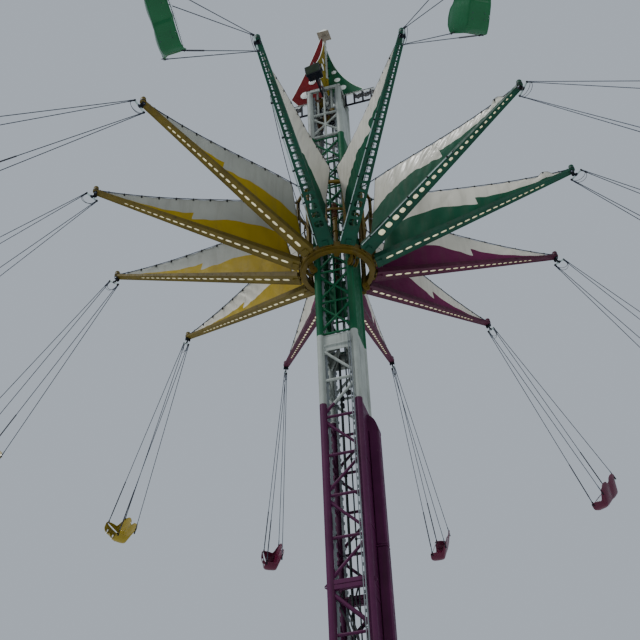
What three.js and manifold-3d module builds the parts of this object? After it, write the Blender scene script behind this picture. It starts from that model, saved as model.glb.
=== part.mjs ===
// Chair swing ride: a lattice mast on outriggers, a carriage that climbs the mast, and a star of
// twelve arms that turns on the carriage and carries twelve double bucket seats on steel cables.
// Millimetres, +Z up, the origin on the ground under the mast. At rest the ride is in flight.

import * as THREE from 'three';
import { mergeVertices } from 'three/addons/utils/BufferGeometryUtils.js';
import Module from 'manifold-3d';

const wasm = await Module();
wasm.setup();

// Seats fit on one another with this gap where they are turned or cut.
const FIT = 0.3;

// Mast
const CHORD_SPACING = 820;
const CHORD_WIDTH = 170;
const PEDESTAL_HEIGHT = 900;
const SECTION_JOINT = 11900;
const WHITE_BOTTOM = 16300;
const GREEN_BOTTOM = 18250;
const GREEN_TOP = 25100;
const MAST_TOP = 27100;
const BAY = 1000;
const HEAD_BAY = 955;
const BRACE = 58;
const FLANGE_BEAM = 110;
const GUSSET_HEIGHT = 450;
const GUSSET_THICKNESS = 16;

// Trunk and cover panel on the +X side of the mast
const PANEL_THICKNESS = 25;
const TRUNK_OUT = 700;
const TRUNK_FROM_Y = 60;
const TRUNK_TO_Y = 320;
const TRUNK_TOP = 16150;
const TRUNK_SHOULDER = 15750;

// Pedestal and outriggers
const PEDESTAL_WIDTH = 1300;
const OUTRIGGER_REACH = 4400;
const OUTRIGGER_WIDTH = 240;
const OUTRIGGER_LOW = 330;
const OUTRIGGER_ROOT = 420;
const OUTRIGGER_END = 260;
const JACK_WIDTH = 130;
const JACK_TOP = 980;
const FOOT_WIDTH = 560;
const FOOT_THICKNESS = 40;

// Carriage, at its place near the top of the mast
const CARRIAGE_RING_Z = 20440;
const CARRIAGE_RING_HEIGHT = 90;
const CARRIAGE_RING_INNER = 785;
const CARRIAGE_RING_OUTER = 915;
const ROLLER_RADIUS = 80;
const ROLLER_WIDTH = 60;
const ROLLER_SIDES = 8;
const CHEEK_THICKNESS = 14;
const CHEEK_OUT = 810;
const CARRIAGE_LOW = 20150;
const CARRIAGE_HIGH = 22000;
const DRIVE_AZIMUTHS = [104, 284];
const DRIVE_OUT = 720;
const DRIVE_RADIUS = 75;
const DRIVE_TOP = 22200;

// Star
const ARM_COUNT = 12;
const ARM_RADIUS = 6100;
const HINGE_Z = 22030;
const HUB_RING_INNER = 820;
const HUB_RING_OUTER = 940;
const HUB_RING_HEIGHT = 170;
const POST_OUT = 1000;
const POST_DEPTH = 75;
const POST_WIDTH = 90;
const POST_TOP = 22820;
const BOOM_ROOT_Z = 20532;
const BOOM_SLOPE = 0.304;
const BOOM_ROOT_WIDTH = 370;
const BOOM_TIP_WIDTH = 156;
const BOOM_ROOT_DEPTH = 150;
const BOOM_TIP_DEPTH = 100;
const TIE_RADIUS = 12;
const TIE_ROOT_Z = 22760;
const TIE_TIP_Z = 22235;
const COLLAR_RADIUS = 75;
const COLLAR_LOW = 22075;
const COLLAR_HIGH = 22290;
const BANNER_THICKNESS = 8;
const BANNER_FROM_LOW = 1150;
const BANNER_FROM_HIGH = 1500;
const BANNER_TO = 5800;

// Hanger, cables and seat, below the hinge at the tip of an arm
const LUG_RADIUS = 28;
const LUG_HALF = 50;
const CROSSBAR_DROP = 120;
const CROSSBAR_HALF = 200;
const CROSSBAR_WIDTH = 44;
const CABLE_RADIUS = 9;
const FRONT_EYE = { x: 557, y: 200, z: -5680 };
const REAR_EYE = { x: 557, y: -240, z: -5500 };
const EYE_BLOCK = 34;
const SEAT_HALF = 572;
const SEAT_SHELL = 26;
const PAN_REAR = { y: -85, z: -6010 };
const BACK_TOP = { y: -305, z: -5400 };
const LAP_BAR_RADIUS = 17;

// Degrees that each seat swings out from plumb, and lags behind its arm, in arm order
const SWING_OUT = [43, 43, 40, 39, 40, 45, 45, 44, 42, 40, 42, 43];
const SWING_LAG = [5, 4, 5, 6, 5, 3, 3, 5, 11, 7, 5, 5];

// Crown
const POLE_RADIUS = 50;
const POLE_TOP = 29650;
const FINIAL_WIDTH = 360;
const FINIAL_SHOULDER = 30160;
const FINIAL_TOP = 30400;
const FIN_LOW = 27150;
const FIN_THICKNESS = 18;
const FIN_SHAPE = {
  low: { foot: 1000, corner: [1050, 27220], bend: [300, 27900], top: [80, 29340] },
  tall: { foot: 870, corner: [1080, 27500], bend: [480, 28500], top: [120, 29640] },
};
const BRACKET_FROM = 500;
const BRACKET_REACH = 1380;
const BRACKET_LOW = 26650;
const BRACKET_RAIL = 36;

const RED = 0x9c2b2c;
const GREEN = 0x1c5a44;
const PURPLE = 0x6b2350;
const YELLOW = 0xa98a1e;
const WHITE = 0xb9b8b0;
const OCHRE = 0x7a5a1c;
const STEEL = 0x6a7480;
const FABRIC = 0xc4bfb2;

const rad = THREE.MathUtils.degToRad;

function solid(geometry) {
  const bare = geometry.clone();
  bare.deleteAttribute('normal');
  bare.deleteAttribute('uv');
  const merged = mergeVertices(bare, 1e-4);
  const mesh = new wasm.Mesh({
    numProp: 3,
    vertProperties: new Float32Array(merged.attributes.position.array),
    triVerts: new Uint32Array(merged.index.array),
  });
  return new wasm.Manifold(mesh);
}

function join(geometries) {
  return geometries.map(solid).reduce((whole, piece) => whole.add(piece));
}

function surface(manifold) {
  const mesh = manifold.getMesh();
  const geometry = new THREE.BufferGeometry();
  geometry.setAttribute('position', new THREE.BufferAttribute(new Float32Array(mesh.vertProperties), 3));
  geometry.setIndex(new THREE.BufferAttribute(new Uint32Array(mesh.triVerts), 1));
  geometry.computeVertexNormals();
  return geometry;
}

function block(x0, x1, y0, y1, z0, z1) {
  const geometry = new THREE.BoxGeometry(x1 - x0, y1 - y0, z1 - z0);
  return geometry.translate((x0 + x1) / 2, (y0 + y1) / 2, (z0 + z1) / 2);
}

// A straight bar of rectangular section between two points. Its width lies across `side`.
function bar(from, to, width, depth = width, side = new THREE.Vector3(0, 0, 1)) {
  const along = new THREE.Vector3().subVectors(to, from);
  const length = along.length();
  along.normalize();
  const across = new THREE.Vector3().crossVectors(side, along).normalize();
  const up = new THREE.Vector3().crossVectors(along, across);
  const turn = new THREE.Matrix4().makeBasis(along, across, up);
  const middle = new THREE.Vector3().addVectors(from, to).multiplyScalar(0.5);
  return new THREE.BoxGeometry(length, width, depth).applyMatrix4(turn.setPosition(middle));
}

// A round bar between two points, with few sides.
function rod(from, to, radius, sides = 6) {
  const along = new THREE.Vector3().subVectors(to, from);
  const length = along.length();
  const turn = new THREE.Quaternion().setFromUnitVectors(new THREE.Vector3(0, 1, 0), along.normalize());
  const middle = new THREE.Vector3().addVectors(from, to).multiplyScalar(0.5);
  const geometry = new THREE.CylinderGeometry(radius, radius, length, sides);
  return geometry.applyQuaternion(turn).translate(middle.x, middle.y, middle.z);
}

function upright(radius, low, high, sides) {
  const geometry = new THREE.CylinderGeometry(radius, radius, high - low, sides);
  return geometry.rotateX(Math.PI / 2).translate(0, 0, (low + high) / 2);
}

// A ring of rectangular section round the mast axis.
function ring(inner, outer, low, high, segments) {
  const profile = [[inner, low], [outer, low], [outer, high], [inner, high], [inner, low]];
  const points = profile.map(([radius, z]) => new THREE.Vector2(radius, z));
  return new THREE.LatheGeometry(points, segments).rotateX(Math.PI / 2);
}

// A flat plate whose outline is given in the XZ plane, centred on y.
function plateXZ(outline, y, thickness) {
  const shape = new THREE.Shape(outline.map(([x, z]) => new THREE.Vector2(x, z)));
  const geometry = new THREE.ExtrudeGeometry(shape, { depth: thickness, bevelEnabled: false });
  return geometry.rotateX(Math.PI / 2).translate(0, y + thickness / 2, 0);
}

// A profile given as (y, z) and drawn out along X between two places.
function drawnAlongX(outline, x0, x1) {
  const shape = new THREE.Shape(outline.map(([y, z]) => new THREE.Vector2(y, z)));
  const geometry = new THREE.ExtrudeGeometry(shape, { depth: x1 - x0, bevelEnabled: false });
  const turn = new THREE.Matrix4().makeBasis(
    new THREE.Vector3(0, 1, 0),
    new THREE.Vector3(0, 0, 1),
    new THREE.Vector3(1, 0, 0),
  );
  return geometry.applyMatrix4(turn).translate(x0, 0, 0);
}

const ride = new THREE.Group();

function place(name, geometry, colour, group, metalness = 0.4, roughness = 0.5) {
  const material = new THREE.MeshStandardMaterial({ color: colour, metalness, roughness });
  const mesh = new THREE.Mesh(geometry, material);
  mesh.name = name;
  group.add(mesh);
  return mesh;
}

// Mast: four chords with level and sloping braces on each side.

const CHORD = CHORD_SPACING / 2;
const CHORD_RADIUS = CHORD_WIDTH / 2 / Math.cos(Math.PI / 8);
const FACES = [0, 90, 180, 270];
const BRACE_SETBACK = 92;

function chords(low, high) {
  const corners = [[1, 1], [-1, 1], [-1, -1], [1, -1]];
  return corners.map(([sx, sy]) => {
    const chord = upright(CHORD_RADIUS, low, high, 8).rotateZ(Math.PI / 8);
    return chord.translate(sx * CHORD, sy * CHORD, 0);
  });
}

function onFace(turn, across, z) {
  const point = new THREE.Vector3(CHORD, across, z);
  return point.applyAxisAngle(new THREE.Vector3(0, 0, 1), rad(turn));
}

function levelBraces(z, size) {
  return FACES.map((turn) => bar(onFace(turn, -CHORD, z), onFace(turn, CHORD, z), size));
}

function slopingBraces(low, high, crossed, rising) {
  const bars = [];
  const a = low + BRACE_SETBACK;
  const b = high - BRACE_SETBACK;
  FACES.forEach((turn, face) => {
    const side = onFace(turn, 0, 0);
    const up = (rising + face) % 2 === 1;
    if (crossed || up) {
      bars.push(bar(onFace(turn, -CHORD, a), onFace(turn, CHORD, b), BRACE - 8, BRACE - 8, side));
    }
    if (crossed || !up) {
      bars.push(bar(onFace(turn, -CHORD, b), onFace(turn, CHORD, a), BRACE - 8, BRACE - 8, side));
    }
  });
  return bars;
}

function lattice(low, high, levels, crossed) {
  const pieces = chords(low, high);
  levels.forEach((z) => pieces.push(...levelBraces(z, BRACE)));
  for (let bay = 1; bay < levels.length; bay += 1) {
    pieces.push(...slopingBraces(levels[bay - 1], levels[bay], crossed, bay));
  }
  return pieces;
}

function evenLevels(low, high, bays) {
  return Array.from({ length: bays + 1 }, (_, i) => low + ((high - low) * i) / bays);
}

const HALF_BEAM = FLANGE_BEAM / 2;
const outrigger = (turn) => {
  const side = OUTRIGGER_WIDTH / 2;
  const outline = [
    [PEDESTAL_WIDTH / 2 - 60, OUTRIGGER_LOW],
    [OUTRIGGER_REACH, OUTRIGGER_LOW],
    [OUTRIGGER_REACH, OUTRIGGER_LOW + OUTRIGGER_END],
    [PEDESTAL_WIDTH / 2 - 60, OUTRIGGER_LOW + OUTRIGGER_ROOT],
  ];
  const jack = JACK_WIDTH / 2;
  const foot = FOOT_WIDTH / 2;
  const pieces = [
    plateXZ(outline, 0, 2 * side),
    block(OUTRIGGER_REACH - jack, OUTRIGGER_REACH + jack, -jack, jack, FOOT_THICKNESS - 5, JACK_TOP),
    block(OUTRIGGER_REACH - foot, OUTRIGGER_REACH + foot, -foot, foot, 0, FOOT_THICKNESS),
  ];
  return pieces.map((piece) => piece.rotateZ(rad(turn)));
};

const half = PEDESTAL_WIDTH / 2;
const base = join([
  block(-half, half, -half, half, 0, PEDESTAL_HEIGHT),
  ...FACES.flatMap(outrigger),
]);
place('base_frame', surface(base), PURPLE, ride);

const lowerLevels = evenLevels(PEDESTAL_HEIGHT + HALF_BEAM, SECTION_JOINT - HALF_BEAM, 11);
const bottomMast = join([
  ...lattice(PEDESTAL_HEIGHT, SECTION_JOINT, lowerLevels.slice(1, -1), false),
  ...levelBraces(lowerLevels[0], FLANGE_BEAM),
  ...levelBraces(lowerLevels.at(-1), FLANGE_BEAM),
  ...slopingBraces(lowerLevels[0], lowerLevels[1], false, 0),
  ...slopingBraces(lowerLevels.at(-2), lowerLevels.at(-1), false, 0),
]);

const middleStart = SECTION_JOINT + HALF_BEAM;
const middleLevels = Array.from({ length: 7 }, (_, i) => middleStart + BAY * i);
const gussetLow = GREEN_BOTTOM - GUSSET_HEIGHT;
const gussets = FACES.map((turn) => {
  const x = CHORD - GUSSET_THICKNESS / 2;
  const plate = block(x, x + GUSSET_THICKNESS, -CHORD, CHORD, gussetLow, GREEN_BOTTOM);
  return plate.rotateZ(rad(turn));
});
const middleMast = join([
  ...lattice(SECTION_JOINT, GREEN_BOTTOM, middleLevels.slice(1, -1), false),
  ...levelBraces(middleStart, FLANGE_BEAM),
  ...slopingBraces(middleStart, middleLevels[1], false, 0),
  ...gussets,
]);
const wide = 2 * CHORD_SPACING;
const purpleZone = solid(block(-wide, wide, -wide, wide, SECTION_JOINT - BAY, WHITE_BOTTOM));
const lowerMast = middleMast.intersect(purpleZone).add(bottomMast);
place('mast_lower_section', surface(lowerMast), PURPLE, ride);
place('mast_middle_section', surface(middleMast.subtract(purpleZone)), WHITE, ride);

const greenLevels = evenLevels(GREEN_BOTTOM + HALF_BEAM, GREEN_TOP - HALF_BEAM, 7);
const greenMast = join(lattice(GREEN_BOTTOM, GREEN_TOP, greenLevels, true));
place('mast_upper_section', surface(greenMast), GREEN, ride);

const TOP_PLATE = 30;
const headLevels = [GREEN_TOP + HALF_BEAM, GREEN_TOP + HEAD_BAY, MAST_TOP - HALF_BEAM];
const plateHalf = CHORD + CHORD_WIDTH / 2;
const headMast = join([
  ...chords(GREEN_TOP, MAST_TOP - TOP_PLATE),
  ...headLevels.flatMap((z) => levelBraces(z, BRACE)),
  ...slopingBraces(headLevels[0], headLevels[1], true, 0),
  block(-plateHalf, plateHalf, -plateHalf, plateHalf, MAST_TOP - TOP_PLATE, MAST_TOP),
]);
place('mast_head_section', surface(headMast), WHITE, ride);

const panelIn = CHORD + BRACE / 2 + FIT;
const panelHalf = CHORD - CHORD_WIDTH / 2 - 5;
const trunkProfile = [
  [panelIn, PEDESTAL_HEIGHT + FLANGE_BEAM + 1],
  [TRUNK_OUT, PEDESTAL_HEIGHT + FLANGE_BEAM + 1],
  [TRUNK_OUT, TRUNK_SHOULDER],
  [panelIn + PANEL_THICKNESS, TRUNK_TOP],
  [panelIn, TRUNK_TOP],
];
const cutAway = block(
  panelIn - PANEL_THICKNESS, CHORD + HALF_BEAM + FIT, -CHORD, CHORD,
  SECTION_JOINT - FLANGE_BEAM - FIT, SECTION_JOINT + FLANGE_BEAM + FIT,
);
const trunk = join([
  plateXZ(trunkProfile, (TRUNK_FROM_Y + TRUNK_TO_Y) / 2, TRUNK_TO_Y - TRUNK_FROM_Y),
  block(
    panelIn, panelIn + PANEL_THICKNESS, -panelHalf, panelHalf,
    PEDESTAL_HEIGHT + FLANGE_BEAM + 1, BRACKET_LOW - 50,
  ),
]).subtract(solid(cutAway));
place('side_trunk', surface(trunk), PURPLE, ride);

// Crown: a pole with a lantern box and a floodlight, and four fins on ladder brackets.

const finialHalf = FINIAL_WIDTH / 2;
const roofHeight = FINIAL_TOP - FINIAL_SHOULDER;
const roof = new THREE.ConeGeometry(finialHalf * Math.SQRT2, roofHeight, 4, 1);
roof.rotateY(Math.PI / 4).rotateX(Math.PI / 2).translate(0, 0, FINIAL_SHOULDER + roofHeight / 2);
const LAMP_AZIMUTH = 225;
const floodlight = [
  block(262, 620, -190, 190, 27880, 28250),
  block(POLE_RADIUS - 15, 270, -30, 30, 28030, 28110),
];
const pole = join([
  upright(POLE_RADIUS, MAST_TOP + FIT, POLE_TOP + 20, 12),
  block(-finialHalf, finialHalf, -finialHalf, finialHalf, POLE_TOP, FINIAL_SHOULDER),
  roof,
  ...floodlight.map((piece) => piece.rotateZ(rad(LAMP_AZIMUTH))),
]);
place('crown_pole', surface(pole), WHITE, ride);

// The yellow fins share a collar round the pole, and the other two stand against it.
const COLLAR_OUT = POLE_RADIUS + 12;
const FIN_COLLAR_TOP = 28000;

function finOutline(inner, shape) {
  const ends = [shape.corner, shape.bend, shape.top].map(([r, z]) => new THREE.Vector2(r, z));
  const curve = new THREE.QuadraticBezierCurve(...ends).getPoints(6);
  return [[inner, FIN_LOW], [shape.foot, FIN_LOW], ...curve.map((p) => [p.x, p.y]),
    [inner, shape.top[1]]];
}

function ladderBracket(inner) {
  const rail = BRACKET_RAIL / 2;
  const railTop = FIN_LOW + 2;
  const pieces = [
    block(BRACKET_FROM, BRACKET_REACH, -rail, rail, FIN_LOW - BRACKET_RAIL, railTop),
    block(BRACKET_FROM, BRACKET_REACH - 90, -rail, rail, BRACKET_LOW, BRACKET_LOW + BRACKET_RAIL),
    block(inner, BRACKET_FROM + 5, -rail, rail, MAST_TOP + FIT, railTop),
  ];
  const rungs = 3;
  for (let i = 0; i <= rungs; i += 1) {
    const foot = BRACKET_FROM + rail + ((BRACKET_REACH - 90 - BRACKET_FROM - 2 * rail) * i) / rungs;
    pieces.push(block(foot - 12, foot + 12, -12, 12, BRACKET_LOW + 4, FIN_LOW - 4));
  }
  return pieces;
}

function crownFin(turn, inner, shape) {
  const pieces = [plateXZ(finOutline(inner, shape), 0, FIN_THICKNESS), ...ladderBracket(inner)];
  return pieces.map((piece) => piece.rotateZ(rad(turn)));
}
const againstCollar = COLLAR_OUT + FIT;
place('crown_fin_green', surface(join(crownFin(0, againstCollar, FIN_SHAPE.low))), GREEN, ride);
place('crown_fin_red', surface(join(crownFin(180, againstCollar, FIN_SHAPE.tall))), RED, ride);
const yellowFins = join([
  ring(POLE_RADIUS + 0.4, COLLAR_OUT, MAST_TOP + FIT, FIN_COLLAR_TOP, 12),
  ...crownFin(90, COLLAR_OUT - 2, FIN_SHAPE.tall),
  ...crownFin(270, COLLAR_OUT - 2, FIN_SHAPE.tall),
]);
place('crown_fins_yellow', surface(yellowFins), YELLOW, ride);

// Carriage: a ring with two upright drives, and four pairs of cheeks whose rollers run on the chords.

const chordOut = Math.hypot(CHORD, CHORD) + CHORD_WIDTH / 2;
const rollerAt = chordOut + FIT + ROLLER_RADIUS;
const cheekIn = chordOut + 35;
function rollerSet(turn) {
  const pieces = [-1, 1].map((s) => {
    const y = (s * (ROLLER_WIDTH + CHEEK_THICKNESS)) / 2;
    return block(
      cheekIn, CHEEK_OUT, y - CHEEK_THICKNESS / 2, y + CHEEK_THICKNESS / 2,
      CARRIAGE_LOW, CARRIAGE_HIGH,
    );
  });
  const flat = ROLLER_RADIUS / Math.cos(Math.PI / ROLLER_SIDES);
  [CARRIAGE_LOW + 110, CARRIAGE_HIGH - 190].forEach((z) => {
    const roller = new THREE.CylinderGeometry(flat, flat, ROLLER_WIDTH + 4, ROLLER_SIDES);
    pieces.push(roller.rotateY(Math.PI / ROLLER_SIDES).translate(rollerAt, 0, z));
  });
  return pieces.map((piece) => piece.rotateZ(rad(turn)));
}
const carriage = join([
  ring(CARRIAGE_RING_INNER, CARRIAGE_RING_OUTER, CARRIAGE_RING_Z,
    CARRIAGE_RING_Z + CARRIAGE_RING_HEIGHT, 24),
  ring(CHEEK_OUT - 30, CHEEK_OUT, CARRIAGE_HIGH - 80, CARRIAGE_HIGH - 5, 24),
  ...[45, 135, 225, 315].flatMap(rollerSet),
  ...DRIVE_AZIMUTHS.map((turn) => (
    upright(DRIVE_RADIUS, CARRIAGE_RING_Z + 5, DRIVE_TOP, 8).translate(DRIVE_OUT, 0, 0).rotateZ(rad(turn))
  )),
]);
place('carriage_frame', surface(carriage), OCHRE, ride);

// Star: hub frame, arms and banners.

const hubLow = CARRIAGE_RING_Z + CARRIAGE_RING_HEIGHT + FIT;
const hub = join([
  ring(HUB_RING_INNER, HUB_RING_OUTER, hubLow, hubLow + HUB_RING_HEIGHT, 24),
  ring(POST_OUT - POST_DEPTH, POST_OUT - 10, POST_TOP - 90, POST_TOP - 10, 24),
  ...Array.from({ length: ARM_COUNT }, (_, i) => block(
    POST_OUT - POST_DEPTH, POST_OUT, -POST_WIDTH / 2, POST_WIDTH / 2, BOOM_ROOT_Z, POST_TOP,
  ).rotateZ(rad((360 / ARM_COUNT) * i))),
]);
place('hub_frame', surface(hub), OCHRE, ride);

const boomFrom = POST_OUT + FIT;
const boomLow = (r) => BOOM_ROOT_Z + BOOM_SLOPE * (r - boomFrom);
const share = (r) => (r - boomFrom) / (ARM_RADIUS - boomFrom);
const boomDepth = (r) => BOOM_ROOT_DEPTH + (BOOM_TIP_DEPTH - BOOM_ROOT_DEPTH) * share(r);
const boomWidth = (r) => BOOM_ROOT_WIDTH + (BOOM_TIP_WIDTH - BOOM_ROOT_WIDTH) * share(r);
const tieZ = (r) => TIE_ROOT_Z + (TIE_TIP_Z - TIE_ROOT_Z) * share(r);

// A straight box between two stations, wider and deeper at its root.
function boomBox(r0, r1) {
  const geometry = new THREE.BoxGeometry(r1 - r0, 1, 1);
  const at = geometry.attributes.position;
  for (let i = 0; i < at.count; i += 1) {
    const r = at.getX(i) > 0 ? r1 : r0;
    const y = Math.sign(at.getY(i)) * (boomWidth(r) / 2);
    const z = boomLow(r) + (at.getZ(i) > 0 ? boomDepth(r) : 0);
    at.setXYZ(i, r, y, z);
  }
  return geometry;
}

function clevis(lag) {
  const cheeks = [-1, 1].map((s) => {
    const y0 = s > 0 ? LUG_HALF + FIT : -LUG_HALF - FIT - 16;
    return block(-38, 38, y0, y0 + 16, HINGE_Z - 38, COLLAR_LOW + 5);
  });
  const foot = block(-45, 45, -LUG_HALF - 18, LUG_HALF + 18, COLLAR_LOW, COLLAR_LOW + 20);
  return [...cheeks, foot].map((piece) => piece.rotateZ(rad(-lag)).translate(ARM_RADIUS, 0, 0));
}

function arm(lag) {
  return join([
    boomBox(boomFrom, ARM_RADIUS - 30),
    upright(COLLAR_RADIUS, COLLAR_LOW + 10, COLLAR_HIGH, 8).translate(ARM_RADIUS, 0, 0),
    rod(
      new THREE.Vector3(boomFrom + TIE_RADIUS / 9, 0, TIE_ROOT_Z),
      new THREE.Vector3(ARM_RADIUS, 0, TIE_TIP_Z), TIE_RADIUS, 5,
    ),
    ...clevis(lag),
  ]);
}

function banner() {
  const low = (r) => boomLow(r) + boomDepth(r) + FIT;
  const high = (r) => tieZ(r) - TIE_RADIUS - 1;
  const outline = [
    [BANNER_FROM_LOW, low(BANNER_FROM_LOW)], [BANNER_TO, low(BANNER_TO)],
    [BANNER_TO, high(BANNER_TO)], [BANNER_FROM_HIGH, high(BANNER_FROM_HIGH)],
  ];
  return plateXZ(outline, 0, BANNER_THICKNESS);
}

// Swing: hanger with four cables, and a double seat. Hinge at the origin, hanging plumb.

const v = (x, y, z) => new THREE.Vector3(x, y, z);

function hanger() {
  const w = CROSSBAR_WIDTH / 2;
  const pieces = [
    rod(v(0, -LUG_HALF, 0), v(0, LUG_HALF, 0), LUG_RADIUS, 8),
    block(-w, w, -w + 4, w - 4, -CROSSBAR_DROP, -10),
    block(-CROSSBAR_HALF, CROSSBAR_HALF, -w, w, -CROSSBAR_DROP - w, -CROSSBAR_DROP + w),
  ];
  [-1, 1].forEach((s) => {
    const top = CROSSBAR_HALF - 20;
    const front = v(s * FRONT_EYE.x, FRONT_EYE.y, FRONT_EYE.z);
    const rear = v(s * REAR_EYE.x, REAR_EYE.y, REAR_EYE.z);
    pieces.push(rod(v(s * top, 12, -CROSSBAR_DROP), front, CABLE_RADIUS, 4));
    pieces.push(rod(v(s * top, -12, -CROSSBAR_DROP), rear, CABLE_RADIUS, 4));
  });
  return join(pieces);
}

function backOutline(height) {
  const hump = [[1, 0.72], [0.8, 0.97], [0.3, 0.97]];
  const right = hump.map(([x, s]) => [x * SEAT_HALF, s * height]);
  const left = right.map(([x, s]) => [-x, s]).reverse();
  return [[SEAT_HALF, 0], ...right, [0, 0.74 * height], ...left, [-SEAT_HALF, 0]];
}

function seatBack() {
  const rise = v(0, BACK_TOP.y - PAN_REAR.y, BACK_TOP.z - PAN_REAR.z);
  const shape = new THREE.Shape(backOutline(rise.length()).map(([x, s]) => new THREE.Vector2(x, s)));
  const geometry = new THREE.ExtrudeGeometry(shape, { depth: SEAT_SHELL, bevelEnabled: false });
  const up = rise.clone().normalize();
  const across = v(1, 0, 0);
  const out = new THREE.Vector3().crossVectors(across, up);
  const turn = new THREE.Matrix4().makeBasis(across, up, out);
  return geometry.applyMatrix4(turn.setPosition(0, PAN_REAR.y, PAN_REAR.z));
}

function seat() {
  const eye = EYE_BLOCK / 2;
  const pan = [[-100, -6034], [225, -6018], [280, -5965], [258, -5945], [215, -5988], [-90, -6004]];
  const side = [
    [-100, -6034], [225, -6018], [280, -5965], [245, -5716], [120, -5716],
    [-60, -5770], [-262, -5490], [-290, -5510],
  ];
  const pieces = [
    seatBack(),
    drawnAlongX(pan, -SEAT_HALF, SEAT_HALF),
    drawnAlongX(side, SEAT_HALF - SEAT_SHELL, SEAT_HALF),
    drawnAlongX(side, -SEAT_HALF, SEAT_SHELL - SEAT_HALF),
    rod(v(-SEAT_HALF + 10, 222, -5745), v(5, 222, -5905), LAP_BAR_RADIUS, 4),
    rod(v(SEAT_HALF - 10, 222, -5745), v(-5, 222, -5905), LAP_BAR_RADIUS, 4),
  ];
  [-1, 1].forEach((s) => {
    [FRONT_EYE, REAR_EYE].forEach((at, i) => {
      const top = at.z - 1.5;
      const low = top - (i === 0 ? 60 : 80);
      pieces.push(block(s * at.x - eye, s * at.x + eye, at.y - eye, at.y + eye, low, top));
    });
  });
  return join(pieces);
}

const seatShape = surface(seat());
const hangerShape = surface(hanger());
const bannerShape = banner();
const armColours = [GREEN, PURPLE, YELLOW];
const FIRST_ARM_AZIMUTH = 270;

for (let i = 0; i < ARM_COUNT; i += 1) {
  const number = String(i + 1).padStart(2, '0');
  const colour = armColours[Math.floor((i * armColours.length) / ARM_COUNT)];
  const spoke = new THREE.Group();
  spoke.rotation.z = rad(FIRST_ARM_AZIMUTH + (360 / ARM_COUNT) * i);
  place(`arm_${number}`, surface(arm(SWING_LAG[i])), colour, spoke);
  place(`banner_${number}`, bannerShape.clone(), FABRIC, spoke, 0, 0.9);

  const heading = new THREE.Group();
  heading.position.set(ARM_RADIUS, 0, HINGE_Z);
  heading.rotation.z = rad(-SWING_LAG[i]);
  const swing = new THREE.Group();
  swing.rotation.y = rad(-SWING_OUT[i]);
  place(`cables_${number}`, hangerShape.clone(), STEEL, swing, 0.7, 0.4);
  place(`seat_${number}`, seatShape.clone(), colour, swing, 0, 0.35);
  heading.add(swing);
  spoke.add(heading);
  ride.add(spoke);
}

export default ride;
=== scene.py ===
"""A chair swing ride in flight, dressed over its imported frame. Metres, +Z up."""

import math
import random

import bpy
from mathutils import Matrix, Vector
from mathutils.geometry import tessellate_polygon


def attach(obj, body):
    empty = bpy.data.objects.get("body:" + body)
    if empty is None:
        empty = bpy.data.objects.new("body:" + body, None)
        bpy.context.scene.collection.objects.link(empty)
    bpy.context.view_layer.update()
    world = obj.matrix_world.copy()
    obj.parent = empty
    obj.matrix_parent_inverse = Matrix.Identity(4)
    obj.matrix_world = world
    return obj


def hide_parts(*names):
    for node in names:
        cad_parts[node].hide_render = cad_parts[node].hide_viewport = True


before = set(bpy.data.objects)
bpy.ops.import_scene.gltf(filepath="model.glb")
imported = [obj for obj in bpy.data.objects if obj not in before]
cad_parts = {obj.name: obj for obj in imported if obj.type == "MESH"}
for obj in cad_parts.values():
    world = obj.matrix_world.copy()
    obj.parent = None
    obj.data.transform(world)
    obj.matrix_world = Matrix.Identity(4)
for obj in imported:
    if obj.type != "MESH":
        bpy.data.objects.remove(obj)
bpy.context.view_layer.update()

# Sizes, as in the solids
CHORD = 0.41
CHORD_R = 0.086
PEDESTAL_TOP = 0.9
SECTION_JOINT = 11.9
WHITE_BOTTOM = 16.3
GREEN_BOTTOM = 18.25
GREEN_TOP = 25.1
MAST_TOP = 27.1
BAY = 1.0
HALF_BEAM = 0.055
ARM_R = 6.1
HINGE_Z = 22.03
BOOM_FROM = 1.0003
BOOM_TO = ARM_R - 0.03
BOOM_Z = 20.532
BOOM_SLOPE = 0.304
TIE_ROOT_Z = 22.76
SAIL_FROM_LOW = 1.15
SAIL_FROM_HIGH = 1.5
SAIL_TO = 5.8
SWING_OUT = (43, 43, 40, 39, 40, 45, 45, 44, 42, 40, 42, 43)
SWING_LAG = (5, 4, 5, 6, 5, 3, 3, 5, 11, 7, 5, 5)
FRONT_EYE = Vector((0.557, 0.2, -5.68))
REAR_EYE = Vector((0.557, -0.24, -5.5))
COLOURS = ("green", "purple", "yellow")

rad = math.radians
UP = Vector((0, 0, 1))
SIDES = (-1, 1)
CORNERS = [(x, y) for x in SIDES for y in SIDES]
FACES = (0, 90, 180, 270)


# Materials

def srgb(red, green, blue):
    """A display colour, 0 to 255, as linear light."""
    def linear(c):
        c /= 255
        return c / 12.92 if c <= 0.04045 else ((c + 0.055) / 1.055) ** 2.4
    return (linear(red), linear(green), linear(blue), 1)


def shade(colour, k):
    return tuple(min(1, c * k) for c in colour[:3]) + (1,)


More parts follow.
